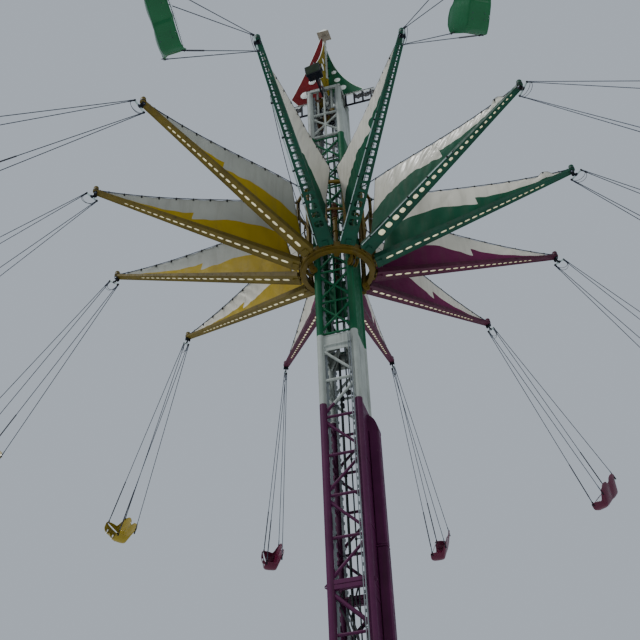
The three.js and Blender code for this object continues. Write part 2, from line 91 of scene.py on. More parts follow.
class Graph:
    """A node material, built from named calls."""

    def __init__(self, name, **sockets):
        self.mat = bpy.data.materials.new(name)
        self.mat.use_nodes = True
        self.mat.node_tree.nodes.clear()
        self.bsdf = self.node("BsdfPrincipled", **sockets)
        self.node("OutputMaterial", Surface=self.bsdf.outputs[0])

    def put(self, node, key, value):
        """Gives a socket a constant, or links it."""
        socket = node.inputs[key.replace("_", " ") if isinstance(key, str) else key]
        if isinstance(value, bpy.types.NodeSocket):
            self.mat.node_tree.links.new(value, socket)
        else:
            socket.default_value = value

    def node(self, kind, settings=(), numbered=(), **named):
        made = self.mat.node_tree.nodes.new("ShaderNode" + kind)
        for key, value in dict(settings).items():
            setattr(made, key, value)
        for key, value in [*dict(numbered).items(), *named.items()]:
            self.put(made, key, value)
        return made

    def noise(self, scale, detail=4, roughness=0.55, stretch=(1, 1, 1)):
        at = self.node("TexCoord").outputs["Object"]
        at = self.node("Mapping", Vector=at, Scale=stretch).outputs[0]
        made = self.node("TexNoise", Vector=at, Scale=scale, Detail=detail, Roughness=roughness)
        return made.outputs["Fac"]

    def ramp(self, value, low, high, to_low=0.0, to_high=1.0):
        return self.node(
            "MapRange", {"clamp": True}, Value=value,
            From_Min=low, From_Max=high, To_Min=to_low, To_Max=to_high,
        ).outputs[0]

    def uneven(self, scale, detail, low=0.0, high=1.0):
        return self.ramp(self.noise(scale, detail), 0.3, 0.7, low, high)

    def math(self, operation, first, second=0.0):
        return self.node("Math", {"operation": operation}, {0: first, 1: second}).outputs[0]

    def mix(self, share, first, second):
        made = self.node("Mix", {"data_type": "RGBA"}, {0: share, 6: first, 7: second})
        return made.outputs[2]

    def tones(self, share, colour, dark, light):
        return self.mix(share, shade(colour, dark), shade(colour, light))

    def done(self, colour, rough=None, height=None, strength=0.0, distance=0.001):
        self.put(self.bsdf, "Base_Color", colour)
        if rough:
            self.put(self.bsdf, "Roughness", rough)
        if height:
            bump = self.node("Bump", Height=height, Strength=strength, Distance=distance)
            self.put(self.bsdf, "Normal", bump.outputs[0])
        return self.mat


def paint(name, rgb, rough=0.52, grime=0.35, chips=0.6, shine=0.14):
    """Weathered machine paint: uneven tone, rain streaks, dust and a few chips."""
    g = Graph(name, Specular_IOR_Level=shine)
    base = g.tones(g.ramp(g.noise(1.3, 5), 0.35, 0.65), srgb(*rgb), 0.84, 1.14)
    streak = g.ramp(g.noise(1.0, 6, 0.6, (7, 7, 0.45)), 0.5, 0.72, 0, grime)
    speck = g.ramp(g.noise(26, 3), 0.72 - 0.04 * chips, 0.75, 0, chips)
    colour = g.mix(speck, g.mix(streak, base, srgb(48, 40, 34)), srgb(86, 76, 66))
    height = g.math("ADD", g.noise(60, 3), speck)
    return g.done(colour, g.uneven(9, 5, rough - 0.1, rough + 0.16), height, 0.12, 0.0015)


def gelcoat(name, rgb):
    """Moulded fibreglass: a glossy coat over colour that has faded unevenly."""
    g = Graph(name, Coat_Weight=0.12, Coat_Roughness=0.2, Specular_IOR_Level=0.15)
    colour = srgb(*rgb)
    fleck = g.ramp(g.noise(240, 2), 0.6, 0.75, 0, 0.25)
    base = g.mix(fleck, g.tones(g.uneven(2.2, 5), colour, 0.82, 1.15), shade(colour, 1.3))
    scuff = g.ramp(g.noise(1.0, 7, 0.65, (14, 3, 14)), 0.62, 0.75, 0, 0.15)
    colour = g.mix(scuff, base, srgb(120, 112, 96))
    return g.done(colour, g.uneven(14, 5, 0.2, 0.42), g.noise(120, 3), 0.06)


def bare_metal(name, rgb, rough, metallic=1.0):
    g = Graph(name, Metallic=metallic)
    colour = g.tones(g.uneven(5, 6), srgb(*rgb), 0.75, 1.15)
    return g.done(colour, g.uneven(22, 5, rough - 0.08, rough + 0.18), g.noise(90, 3), 0.08)


def rubber(name, rgb):
    g = Graph(name)
    colour = g.tones(g.uneven(8, 5), srgb(*rgb), 0.7, 1.5)
    return g.done(colour, g.uneven(30, 3, 0.6, 0.8), g.noise(70, 4), 0.2)


def stranded(name, rgb, lay=0.055):
    """Laid wire rope: strands wind round the rope, from the tube's own UV map, with painted shade
    in the grooves and painted highlight on the crests.
    """
    g = Graph(name, Metallic=0.8)
    colour, strands = srgb(*rgb), 6
    split = g.node("SeparateXYZ", Vector=g.node("TexCoord").outputs["UV"])
    turns = g.math("MULTIPLY", split.outputs[1], 1 / lay)
    phase = g.math("ADD", g.math("MULTIPLY", split.outputs[0], strands), turns)
    wave = g.math("ABSOLUTE", g.math("SUBTRACT", g.math("FRACT", phase), 0.5))
    groove = g.ramp(wave, 0.0, 0.5)
    grime = g.ramp(g.noise(3, 5), 0.4, 0.7, 0, 0.5)
    # Painted highlight on the strand crests and painted shade in the grooves between them.
    colour = g.mix(grime, g.tones(groove, colour, 1.2, 0.45), shade(colour, 0.5))
    return g.done(colour, g.uneven(40, 3, 0.34, 0.57), groove, 0.7, 0.002)


def cloth(name, rgb, stain=0.25, gloss=0.0):
    """Coated sailcloth with its scrim showing, soft stains and rain marks."""
    g = Graph(name, Specular_IOR_Level=0.08, Coat_Weight=gloss, Coat_Roughness=0.3)
    colour, thread = srgb(*rgb), 0.006
    split = g.node("SeparateXYZ", Vector=g.node("TexCoord").outputs["UV"])
    warp, weft = (
        g.math("MULTIPLY", g.math("SINE", g.math("MULTIPLY", way, 2 * math.pi / thread)), 0.5)
        for way in split.outputs[:2]
    )
    weave = g.math("MULTIPLY", warp, weft)
    base = g.tones(g.ramp(g.noise(0.9, 6, 0.6), 0.35, 0.7), colour, 0.9, 1.06)
    woven = g.mix(g.ramp(weave, -0.25, 0.25, 0, 0.12), base, shade(colour, 0.6))
    streak = g.ramp(g.noise(1.0, 6, 0.6, (5, 5, 0.5)), 0.48, 0.75, 0, stain)
    height = g.math("ADD", g.math("MULTIPLY", weave, 0.4), g.noise(6, 5))
    colour = g.mix(streak, woven, srgb(76, 70, 60))
    return g.done(colour, g.uneven(7, 4, 0.5, 0.7), height, 0.25, 0.003)


def daylight(name, rgb, glow):
    """Painted sunlight: a glowing strip for the bright inside of a boom, where the sun falls in
    from above.
    """
    g = Graph(name, Emission_Strength=glow, Specular_IOR_Level=0.2)
    tint = g.tones(g.ramp(g.noise(5, 3), 0.35, 0.65), srgb(*rgb), 0.7, 1)
    g.put(g.bsdf, "Emission_Color", tint)
    return g.done(tint, g.uneven(20, 3, 0.5, 0.7))


PURPLE = paint("mast_purple", (66, 21, 54))
GREEN = paint("mast_green", (18, 76, 50), shine=0.06)
WHITE = paint("mast_white", (140, 146, 140), grime=0.5, chips=0.8)
OCHRE = paint("hub_ochre", (84, 69, 17), grime=0.4)
RUST = paint("gear_brown", (70, 40, 18), grime=0.6)
RED = paint("fin_red", (92, 14, 20), 0.7, 0.2, shine=0.03)
YELLOW = paint("fin_yellow", (112, 98, 26), 0.7, 0.25, shine=0.03)
BLACK = paint("frame_black", (18, 22, 28), 0.6, shine=0.08)
TRIM = paint("fin_trim", (206, 210, 204), grime=0.1, chips=0.2)
# The lantern's underside grey is painted shade, darker than its white roof.
LANTERN_SHADED = paint("lantern_underside_painted_shade", (120, 112, 98), grime=0.2, chips=0.2)
CONDUIT = paint("conduit_pale", (150, 166, 162), 0.4, 0.4, 0.3, 0.3)
DARK_PIPE = paint("dark_pipe", (38, 46, 46), grime=0.2)
GALVANISED = paint("galvanised", (104, 110, 112), 0.6, shine=0.06)
GLASS_OLIVE = paint("flood_glass", (34, 44, 34), 0.75, 0.3, 0.1, 0.02)
# Painted sunlight: a glowing strip inside the lit booms stands for the sun falling in from above.
PAINTED_SUNLIGHT = daylight("boom_painted_sunlight", (232, 224, 184), 0.4)
ARM_PAINT, SHELL, SAIL_COLOUR = (
    [make(f"{kind}_{name}", rgb) for name, rgb in zip(COLOURS, tints)]
    for make, kind, tints in (
        (paint, "arm", ((12, 60, 44), (66, 20, 42), (87, 74, 23))),
        (gelcoat, "shell", ((12, 78, 44), (74, 15, 40), (124, 108, 26))),
        (cloth, "sail", ((10, 72, 50), (96, 30, 68), (146, 124, 12))),
    )
)
SAIL_WHITE = cloth("sail_white", (190, 187, 174), gloss=0.35)
# A shaded copy of the white sailcloth: painted shade for arms 10 to 12, whose seen sides face away
# from the sun.
SAIL_WHITE_SHADED = cloth("sail_white_painted_shade", (146, 148, 140), gloss=0.1)
WEBBING = cloth("sail_webbing", (104, 104, 100), 0.5)
ROPE = stranded("wire_rope", (44, 52, 66))
TIE_ROPE = stranded("tie_rope", (40, 48, 60), 0.08)
SLEEVE = rubber("cable_sleeve", (20, 24, 34))
RUBBER = rubber("black_rubber", (20, 21, 24))
STEEL = bare_metal("bright_steel", (150, 156, 164), 0.3)
DULL_STEEL = bare_metal("dull_steel", (72, 78, 88), 0.5)
CHROME = bare_metal("chrome_bar", (206, 210, 214), 0.2, 0.7)


# Places, outlines and mesh building

def shift(x, y, z):
    return Matrix.Translation((x, y, z))


def around(angle):
    return Matrix.Rotation(rad(angle), 4, "Z")


def basis(origin, x_way, z_way):
    """A place whose X runs along x_way and whose Z is as near z_way as it can be."""
    x = Vector(x_way).normalized()
    y = Vector(z_way).cross(x).normalized()
    return Matrix.Translation(Vector(origin)) @ Matrix((x, y, x.cross(y))).transposed().to_4x4()


def upright_on(origin, z_way):
    """A place whose Z runs along z_way."""
    turn = Vector(z_way).normalized().to_track_quat("Z", "Y")
    return Matrix.Translation(Vector(origin)) @ turn.to_matrix().to_4x4()


def standing(y=0.0):
    """A place where a plate's outline is drawn in X and Z, at y."""
    return shift(0, y, 0) @ Matrix.Rotation(rad(90), 4, "X")


def moved(points, at=None):
    return [at @ Vector(p) if at is not None else Vector(p) for p in points]


def band(inner, outer, low, high):
    """The profile of a sleeve, or of a disc where inner is 0, for Shape.turned."""
    return [(inner, low), (outer, low), (outer, high), (inner, high)]


def closed_ring(inner, outer, low, high, edge=0.006):
    return [
        (inner, low), (outer - edge, low), (outer, low + edge), (outer, high - edge),
        (outer - edge, high), (inner, high), (inner, low),
    ]


def oval(x, y, half_x, half_y, count=16):
    steps = [2 * math.pi * n / count for n in range(count)]
    return [(x + half_x * math.cos(a), y + half_y * math.sin(a)) for a in steps]


def even(low, high, bays):
    return [low + (high - low) * n / bays for n in range(bays + 1)]


def spline(a, b, c, d, t):
    return 0.5 * (
        2 * b + (c - a) * t + (2 * a - 5 * b + 4 * c - d) * t * t + (3 * b - a - 3 * c + d) * t ** 3
    )


def smooth_curve(points, steps):
    """Points on a Catmull-Rom curve through the given ones."""
    line = [Vector(p) for p in points]
    ends = [2 * line[0] - line[1], *line, 2 * line[-1] - line[-2]]
    made = []
    spans = len(line) - 1
    for n in range(steps + 1):
        t = n / steps * spans
        i = min(int(t), spans - 1)
        made.append(spline(*ends[i:i + 4], t - i))
    return made


def facing_out(verts, faces):
    """The faces of a convex solid, each turned outward."""
    points = [Vector(v) for v in verts]
    centre = sum(points, Vector()) / len(points)
    turned = []
    for face in faces:
        a, b, c = (points[k] for k in face[:3])
        turned.append(face if (b - a).cross(c - a).dot(a - centre) > 0 else face[::-1])
    return turned


class Shape:
    """The corners, faces and paints of one piece, gathered before it is made."""

    def __init__(self, at=None):
        self.at = at or Matrix.Identity(4)
        self.verts, self.faces, self.paints, self.uvs = [], [], [], []

    def add(self, verts, faces, paint=0, uvs=None, at=None):
        first = len(self.verts)
        turn = self.at @ at if at is not None else self.at
        self.verts += [turn @ Vector(v) for v in verts]
        self.faces += [[first + n for n in face] for face in faces]
        self.paints += [paint] * len(faces)
        self.uvs += uvs or [None] * len(faces)

    def tube(self, points, radius, sides=8, paint=0, closed=False, at=None):
        """A round bar along points. radius is one number, or one for each point."""
        line = moved(points, at)
        count = len(line)
        radii = list(radius) if hasattr(radius, "__len__") else [radius] * count
        verts, faces, uvs, runs = [], [], [], []
        side, run = None, 0.0
        for i, p in enumerate(line):
            after = line[(i + 1) % count] if closed or i < count - 1 else p
            before = line[i - 1] if closed or i > 0 else p
            way = (after - before).normalized()
            if side is None:
                side = way.orthogonal().normalized()
            side = (side - way * side.dot(way)).normalized()
            other = way.cross(side)
            run += (p - line[i - 1]).length if i else 0
            runs.append(run)
            for k in range(sides):
                a = 2 * math.pi * k / sides
                verts.append(p + radii[i] * (math.cos(a) * side + math.sin(a) * other))
        for i in range(count if closed else count - 1):
            j = (i + 1) % count
            ahead = runs[i] + (line[j] - line[i]).length
            for k in range(sides):
                m = (k + 1) % sides
                faces.append((i * sides + k, i * sides + m, j * sides + m, j * sides + k))
                u0, u1 = k / sides, (k + 1) / sides
                uvs.append(((u0, runs[i]), (u1, runs[i]), (u1, ahead), (u0, ahead)))
        if not closed:
            faces.append(tuple(reversed(range(sides))))
            faces.append(tuple(range((count - 1) * sides, count * sides)))
            uvs += [((0.5, 0.0),) * sides] * 2
        self.add(verts, faces, paint, uvs)

    def turned(self, profile, at=None, sides=16, paint=0, start=0.0):
        """A profile of (radius, height) pairs, from low to high, turned about Z."""
        verts, faces, rows = [], [], []
        for r, z in profile:
            count = 1 if r < 1e-6 else sides
            rows.append(list(range(len(verts), len(verts) + count)))
            for k in range(count):
                a = 2 * math.pi * k / sides + start
                verts.append((r * math.cos(a), r * math.sin(a), z) if count > 1 else (0, 0, z))
        for low, high in zip(rows, rows[1:]):
            for k in range(sides):
                around_it = ((low, k), (low, k + 1), (high, k + 1), (high, k))
                face = list(dict.fromkeys(row[n % len(row)] for row, n in around_it))
                if len(face) > 2:
                    faces.append(face)
        self.add(verts, faces, paint, None, at)

    def block(self, low, high, paint=0, chamfer=0.004, at=None):
        """A box with its edges taken off. Each corner has one vertex for each axis."""
        middle = [(a + b) / 2 for a, b in zip(low, high)]
        half = [abs(b - a) / 2 for a, b in zip(low, high)]
        cut = min(chamfer, 0.45 * min(half))
        verts = [
            [middle[n] + sign[n] * (half[n] - (0 if n == axis else cut)) for n in range(3)]
            for sign in ((x, y, z) for x in SIDES for y, z in CORNERS) for axis in range(3)
        ]

        def vert(axis, signs):
            return 3 * sum((signs[k] > 0) << (2 - k) for k in range(3)) + axis
        faces = []
        for n in range(3):
            p, q = (k for k in range(3) if k != n)
            for s in SIDES:
                loop = ((-1, -1), (1, -1), (1, 1), (-1, 1))
                faces.append([vert(n, {n: s, p: a, q: b}) for a, b in loop])
            for a, b in CORNERS:
                loop = ((-1, p), (1, p), (1, q), (-1, q))
                faces.append([vert(axis, {n: s, p: a, q: b}) for s, axis in loop])
        faces += [[3 * k, 3 * k + 1, 3 * k + 2] for k in range(8)]
        self.add(verts, facing_out(verts, faces), paint, None, at)

    def beam(self, a, b, width, depth, up=UP, paint=0, chamfer=0.004, at=None):
        """A chamfered bar from a to b, width across and depth along up."""
        a, b = moved((a, b), at)
        way = b - a
        half = Vector((0, width / 2, depth / 2))
        self.block(-half, Vector((way.length, 0, 0)) + half, paint, chamfer, basis(a, way, up))

    def plate(self, outline, thickness, at=None, holes=(), paint=0):
        """A flat plate with holes. Outline and holes are (x, y), and it is centred on Z."""
        loops = [[Vector((x, y, 0)) for x, y in loop] for loop in (outline, *holes)]
        flat = [p for loop in loops for p in loop]
        count = len(flat)
        verts = [(p.x, p.y, s * thickness / 2) for s in (1, -1) for p in flat]
        faces = []
        for tri in tessellate_polygon(loops):
            a, b, c = (flat[n] for n in tri)
            top = tri if (b - a).cross(c - a).z > 0 else tri[::-1]
            faces += [tuple(top), tuple(n + count for n in reversed(top))]
        first = 0
        for number, loop in enumerate(loops):
            size = len(loop)
            area = sum(loop[n].cross(loop[(n + 1) % size]).z for n in range(size))
            outward = (area > 0) == (number == 0)
            for n in range(size):
                a, b = first + n, first + (n + 1) % size
                quad = (a, a + count, b + count, b)
                faces.append(quad if outward else quad[::-1])
            first += size
        self.add(verts, faces, paint, None, at)

    def bolt(self, where, way, size, paint=0, washer=True, at=None):
        """A hexagon head on a washer. size is the head's half width."""
        if at is not None:
            where, way = at @ Vector(where), at.to_3x3() @ Vector(way)
        at = upright_on(where, way)
        if washer:
            self.turned(band(0, 1.3 * size, 0, 0.16 * size), at, 10, paint)
        top = 0.9 * size
        head = [(0, 0), (size, 0), (size, 0.75 * size), (0.82 * size, top), (0, top)]
        self.turned(head, at, 6, paint)

    def mesh(self, name, paints, sharp=38):
        mesh = bpy.data.meshes.new(name)
        mesh.from_pydata([tuple(v) for v in self.verts], [], self.faces)
        for material in paints:
            mesh.materials.append(material)
        mesh.polygons.foreach_set("material_index", self.paints)
        mesh.polygons.foreach_set("use_smooth", [True] * len(self.faces))
        flat = []
        for polygon, given in zip(mesh.polygons, self.uvs):
            if not given:
                n = polygon.normal
                axis = max(range(3), key=lambda i: abs(n[i]))
                u, v = (i for i in range(3) if i != axis)
                corners = (mesh.vertices[k].co for k in polygon.vertices)
                given = [(co[u], co[v]) for co in corners]
            for pair in given:
                flat += pair
        mesh.uv_layers.new(name="UVMap").data.foreach_set("uv", flat)
        mesh.set_sharp_from_angle(angle=rad(sharp))
        mesh.validate()
        return mesh

    def make(self, name, paints, body, replaces=(), slot=None, sharp=38):
        return place(name, self.mesh(name, paints, sharp), body, replaces)


def new_object(name, data):
    obj = bpy.data.objects.new(name, data)
    bpy.context.scene.collection.objects.link(obj)
    return obj


def place(name, mesh, body, replaces=()):
    """Puts a finished mesh into the scene, on its body, in place of the CAD nodes it stands for."""
    obj = new_object(name, mesh)
    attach(obj, body)
    if replaces:
        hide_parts(*replaces)
    return obj


# Mast

def chord_tubes(shape, low, high):
    for x, y in CORNERS:
        line = [(x * CHORD, y * CHORD, low), (x * CHORD, y * CHORD, high)]
        shape.tube(line, CHORD_R, 20)


def face_point(turn, across, z, inset=0.0):
    return around(turn) @ Vector((CHORD - inset, across, z))


def face_line(turn, z):
    return face_point(turn, -CHORD, z), face_point(turn, CHORD, z)


def sloping_tubes(shape, low, high, rising, crossed=False, radius=0.033, zone=(0, 99)):
    """Braces between two levels, as far as they lie in the zone, with a plate at each end."""
    a, b = low + 0.092, high - 0.092
    for face, turn in enumerate(FACES):
        for up in (True, False) if crossed else ((rising + face) % 2 == 1,):
            z0, z1 = (a, b) if up else (b, a)
            start, end = face_point(turn, -CHORD, z0), face_point(turn, CHORD, z1)
            limits = (min(max(z, zone[0]), zone[1]) for z in (z0, z1))
            shape.tube([start.lerp(end, (z - z0) / (z1 - z0)) for z in limits], radius, 10)
            for at, s in ((start, 1), (end, -1)):
                if zone[0] < at.z < zone[1]:
                    way = (end - start).normalized() * s
                    side = around(turn) @ Vector((0, 1, 0))
                    shape.beam(at + way * 0.05, at + way * 0.2, 0.012, 0.1, side, 0, 0.002)


def section_flange(shape, z):
    """Two box beams back to back on each side, bolted through at the chords."""
    for turn in FACES:
        for s in SIDES:
            shape.beam(*face_line(turn, z + s * HALF_BEAM), 0.108, 0.102, UP, 0, 0.01)
    inner, outer = CHORD - 0.15, CHORD + 0.052
    for x, y in CORNERS:
        for a, b in ((-0.026, -0.002), (0.002, 0.026)):
            shape.block((x * inner, y * inner, z + a), (x * outer, y * outer, z + b), 0, 0.006)
        for bx, by in ((0.12, 0.0), (0.0, 0.12), (0.12, 0.12)):
            shape.bolt((x * (CHORD - bx), y * (CHORD - by), z + 0.026), UP, 0.014)


def lattice(shape, levels, crossed=False, radius=0.033, first=0):
    for z in levels:
        for turn in FACES:
            shape.tube(face_line(turn, z), radius, 10)
    for n, (low, high) in enumerate(zip(levels, levels[1:])):
        sloping_tubes(shape, low, high, n + first, crossed, radius)


def mast_sections():
    bottom = even(PEDESTAL_TOP + HALF_BEAM, SECTION_JOINT - HALF_BEAM, 11)
    middle = [SECTION_JOINT + HALF_BEAM + BAY * n for n in range(7)]
    purple = [z for z in middle if z < WHITE_BOTTOM]
    split_bay = (purple[-1], purple[-1] + BAY, 4)
    lower = Shape()
    chord_tubes(lower, PEDESTAL_TOP, WHITE_BOTTOM)
    lattice(lower, bottom[:-1])
    sloping_tubes(lower, bottom[-2], bottom[-1], 1, radius=0.045)
    lattice(lower, purple)
    sloping_tubes(lower, *split_bay, zone=(0, WHITE_BOTTOM))
    section_flange(lower, SECTION_JOINT)
    for turn in FACES:
        lower.beam(*face_line(turn, bottom[0]), 0.11, 0.11, UP, 0, 0.01)
    for x, y in CORNERS:
        lug = [(0.07, -0.07), (0.135, -0.02), (0.135, 0.02), (0.07, 0.08)]
        at = basis((x * CHORD, y * CHORD, SECTION_JOINT), (x, 0, 0), UP)
        lower.plate(lug, 0.016, at @ standing(), [oval(0.108, 0.0, 0.011, 0.011, 10)])
    lower.make("mast_lower_lattice", [PURPLE], "mast", ["mast_lower_section"], "purple_steel")

    white = Shape()
    chord_tubes(white, WHITE_BOTTOM, GREEN_BOTTOM)
    sloping_tubes(white, *split_bay, zone=(WHITE_BOTTOM, 99))
    lattice(white, [z for z in middle if z > WHITE_BOTTOM], first=5, radius=0.034)
    for turn in FACES:
        at = around(turn) @ shift(CHORD, 0, GREEN_BOTTOM)
        white.block((-0.008, -CHORD, -0.45), (0.008, CHORD, 0.0), 0, 0.003, at)
        white.block((-0.05, -CHORD, -0.024), (0.016, CHORD, -0.002), 0, 0.004, at)
        for s in SIDES:
            foot, top = (-0.012, s * 0.33, -0.44), (-0.3, s * 0.1, -0.1)
            white.beam(foot, top, 0.01, 0.2, UP, 0, 0.002, at)
        for across in (-0.3, 0.3):
            white.bolt((0.008, across, -0.06), (1, 0, 0), 0.012, at=at)
    white.make("mast_middle_lattice", [WHITE], "mast", ["mast_middle_section"], "white_steel")

    green = Shape()
    chord_tubes(green, GREEN_BOTTOM, GREEN_TOP)
    levels = even(GREEN_BOTTOM + HALF_BEAM, GREEN_TOP - HALF_BEAM, 7)
    lattice(green, levels, crossed=True, radius=0.026)
    for low, high in zip(levels, levels[1:]):
        for turn in FACES:
            green.tube([face_point(turn, 0, low), face_point(turn, 0, high)], 0.018, 8)
    back = shift(0, 0.352, 0)
    green.block((-0.32, 0, 19.32), (0.32, 0.006, 20.5), 0, 0.002, back)
    for z in (19.34, 19.9, 20.46):
        green.block((-0.33, -0.03, z), (0.33, 0.03, z + 0.03), 0, 0.004, back)
    for x in (-0.16, 0.0, 0.16):
        green.block((x - 0.01, -0.016, 19.33), (x + 0.01, 0.001, 20.49), 0, 0.003, back)
    green.make("mast_upper_lattice", [GREEN], "mast", ["mast_upper_section"], "green_steel")


def mast_head():
    head = Shape()
    low, middle, top = GREEN_TOP + HALF_BEAM, GREEN_TOP + 0.955, MAST_TOP - 0.03
    chord_tubes(head, GREEN_TOP, top)
    for z in (low, middle):
        for turn in FACES:
            head.tube(face_line(turn, z), 0.036, 10)
    sloping_tubes(head, low, middle, 0, crossed=True, radius=0.028)
    edge = CHORD + 0.085
    for turn in FACES:
        out, side = around(turn), around(turn) @ Vector((0, 1, 0))
        head.beam(face_point(turn, 0, low), face_point(turn, 0, top), 0.05, 0.05, side, 0, 0.006)
        for across in (-0.2, 0.2):
            a, b = (face_point(turn, across, z, 0.06) for z in (middle, top))
            head.beam(a, b, 0.036, 0.06, side, 0, 0.005)
        head.block((edge - 0.13, -edge, top), (edge, edge, MAST_TOP), 0, 0.006, out)
        head.block((edge - 0.02, -edge, top - 0.07), (edge, edge, top - 0.001), 0, 0.004, out)
        for across in (-0.42, -0.14, 0.14, 0.42):
            head.bolt((edge - 0.04, across, MAST_TOP), UP, 0.014, at=out)
    for turn in (0, 90):
        way = around(turn) @ Vector((edge - 0.12, 0, 0))
        lift = Vector((0, 0, MAST_TOP - 0.065))
        head.beam(lift - way, lift + way, 0.13, 0.07, UP, 0, 0.008)
    head.block((-0.15, -0.15, top), (0.15, 0.15, MAST_TOP), 0, 0.006)
    head.make("mast_head_lattice", [WHITE], "mast", ["mast_head_section"], "white_steel")

    hoist = Shape()
    grooved = [(0.2, 0.03), (0.22, 0.028), (0.2, 0.012)]
    wheel = [(0.03, -0.03), *((r, -z) for r, z in grooved), (0.185, 0)]
    wheel += [*reversed(grooved), (0.03, 0.03)]
    cheek = [(-0.12, -0.14), (0.52, -0.1), (0.52, 0.1), (-0.12, 0.14)]
    axle_z = 26.45
    for y in (-0.16, 0.16):
        axle = basis((0, y, axle_z), UP, (0, 1, 0))
        hoist.turned(wheel, axle, 28, 1)
        hoist.turned(band(0, 0.045, -0.05, 0.05), axle, 16)
        for s in SIDES:
            at = basis((0, y + 0.045 * s, axle_z), UP, (0, 1, 0))
            hoist.plate(cheek, 0.01, at, [oval(0.36, 0, 0.05, 0.04)])
        hoist.tube([(0.19, y, axle_z), (0.19, y, 22.1)], 0.008, 8, 2)
    hoist.beam((-0.38, 0, 26.4), (0.38, 0, 26.4), 0.06, 0.08, UP, 0, 0.008)
    for x in (-0.3, 0.3):
        hoist.beam((x, -0.38, 26.33), (x, 0.38, 26.33), 0.06, 0.08, UP, 0, 0.008)
    hoist.make("hoist_sheaves", [WHITE, DULL_STEEL, ROPE], "mast", slot="white_steel")

    gear = Shape()
    for low, high, coat in (
        ((-0.3, -0.33, 26.6), (-0.06, -0.12, 26.84), 0),
        ((-0.34, -0.02, 26.1), (-0.2, 0.2, 26.34), 1),
        ((0.1, -0.34, 26.12), (0.31, -0.2, 26.3), 1),
        ((-0.1, -0.31, 25.96), (0.12, -0.17, 26.1), 0),
    ):
        gear.block(low, high, coat, 0.02)
        middle = (Vector(low) + Vector(high)) / 2
        middle.y = low[1]
        cap = [(0, 0), (0.07, 0), (0.07, 0.03), (0.05, 0.05), (0, 0.05)]
        gear.turned(cap, upright_on(middle, (0, -1, 0)), 20, 1 - coat)
    barrel = [(0, 0), (0.075, 0)]
    for k in range(7):
        z = 0.018 * k
        barrel += [(0.075, z + 0.012), (0.066, z + 0.014), (0.066, z + 0.026), (0.075, z + 0.028)]
    gear.turned(barrel + [(0.06, 0.16), (0, 0.165)], shift(-0.2, -0.2, 26.84), 20)
    dice = random.Random(7)
    for _ in range(9):
        x, z = dice.uniform(-0.3, 0.3), dice.uniform(26.2, 26.9)
        steps = ((0, -0.36, 0), (0.05, -0.3, -0.22), (-0.04, -0.2, -0.3), (0.08, -0.1, -0.12))
        gear.tube(smooth_curve([(x + dx, y, z + dz) for dx, y, dz in steps], 14), 0.012, 8, 2)
    gear.make("head_gear", [OCHRE, RUST, RUBBER], "mast", slot="ochre_steel")


def mast_guides():
    """Racks beside each chord for the safety pawls, and the pipes that run up the mast."""
    racks = Shape()
    for turn in (90, 270):
        spin = around(turn)
        for s in SIDES:
            racks.block((0.36, s * 0.276, 1.0), (0.372, s * 0.33, 26.9), 0, 0.003, spin)
            z = 1.06
            while z < 26.8:
                racks.block((0.354, s * 0.256, z), (0.378, s * 0.277, z + 0.07), 0, 0.002, spin)
                z += 0.2
    racks.make("mast_racks", [GALVANISED], "mast")
    pipes = Shape()
    for x, y, r in ((0.14, -0.32, 0.016), (-0.16, 0.3, 0.03), (0.2, 0.3, 0.02)):
        pipes.tube([(x, y, 0.95), (x, y, 24.9)], r, 10)
        for z in even(1.4, 24.4, 12):
            pipes.turned(band(r, r + 0.012, -0.02, 0.02), shift(x, y, z), 10, 1)
            pipes.beam((x, y, z), (math.copysign(CHORD, x), y, z), 0.02, 0.008, UP, 1, 0.002)
    for x, y, r in ((0.33, -0.52, 0.014), (0.28, -0.515, 0.01)):
        pipes.tube([(x, y, 0.95), (x, y, 18.1)], r, 10, 3)
        for z in even(1.4, 17.9, 11):
            pipes.beam((x, y, z), (x, -CHORD - 0.04, z), 0.02, 0.008, UP, 1, 0.002)
    hang = (
        (0, -0.3, 0.5), (-0.06, -0.33, 0.2), (0.04, -0.31, -0.1), (0.12, -0.3, -0.45),
        (0.1, -0.28, -0.9),
    )
    for n, (x, z) in enumerate(((-0.2, 11.3), (-0.05, 11.2), (0.12, 11.35), (0.0, 10.9))):
        hose = smooth_curve([(x + dx, y, z + dz) for dx, y, dz in hang], 18)
        pipes.tube(hose, 0.022 - 0.002 * n, 10, 2)
    pipes.block((-0.06, -0.2, 16.5), (0.02, -0.12, 16.62), 1, 0.01)
    pipes.block((-0.055, -0.2, 16.3), (0.015, -0.12, 16.42), 1, 0.01)
    wheel = [(0, -0.02), (0.07, -0.02), (0.08, 0), (0.07, 0.02), (0, 0.02)]
    pipes.turned(wheel, upright_on((0.08, 0.06, 16.86), (0, -1, 0)), 24, 2)
    for x in (-0.03, 0.03):
        pipes.tube([(0.08 + x * 2, 0.06, 16.86), (0.08 + x * 0.4, 0.06, 17.78)], 0.009, 8, 2)
    pipes.make("mast_pipes", [DARK_PIPE, BLACK, RUBBER, GALVANISED], "mast")


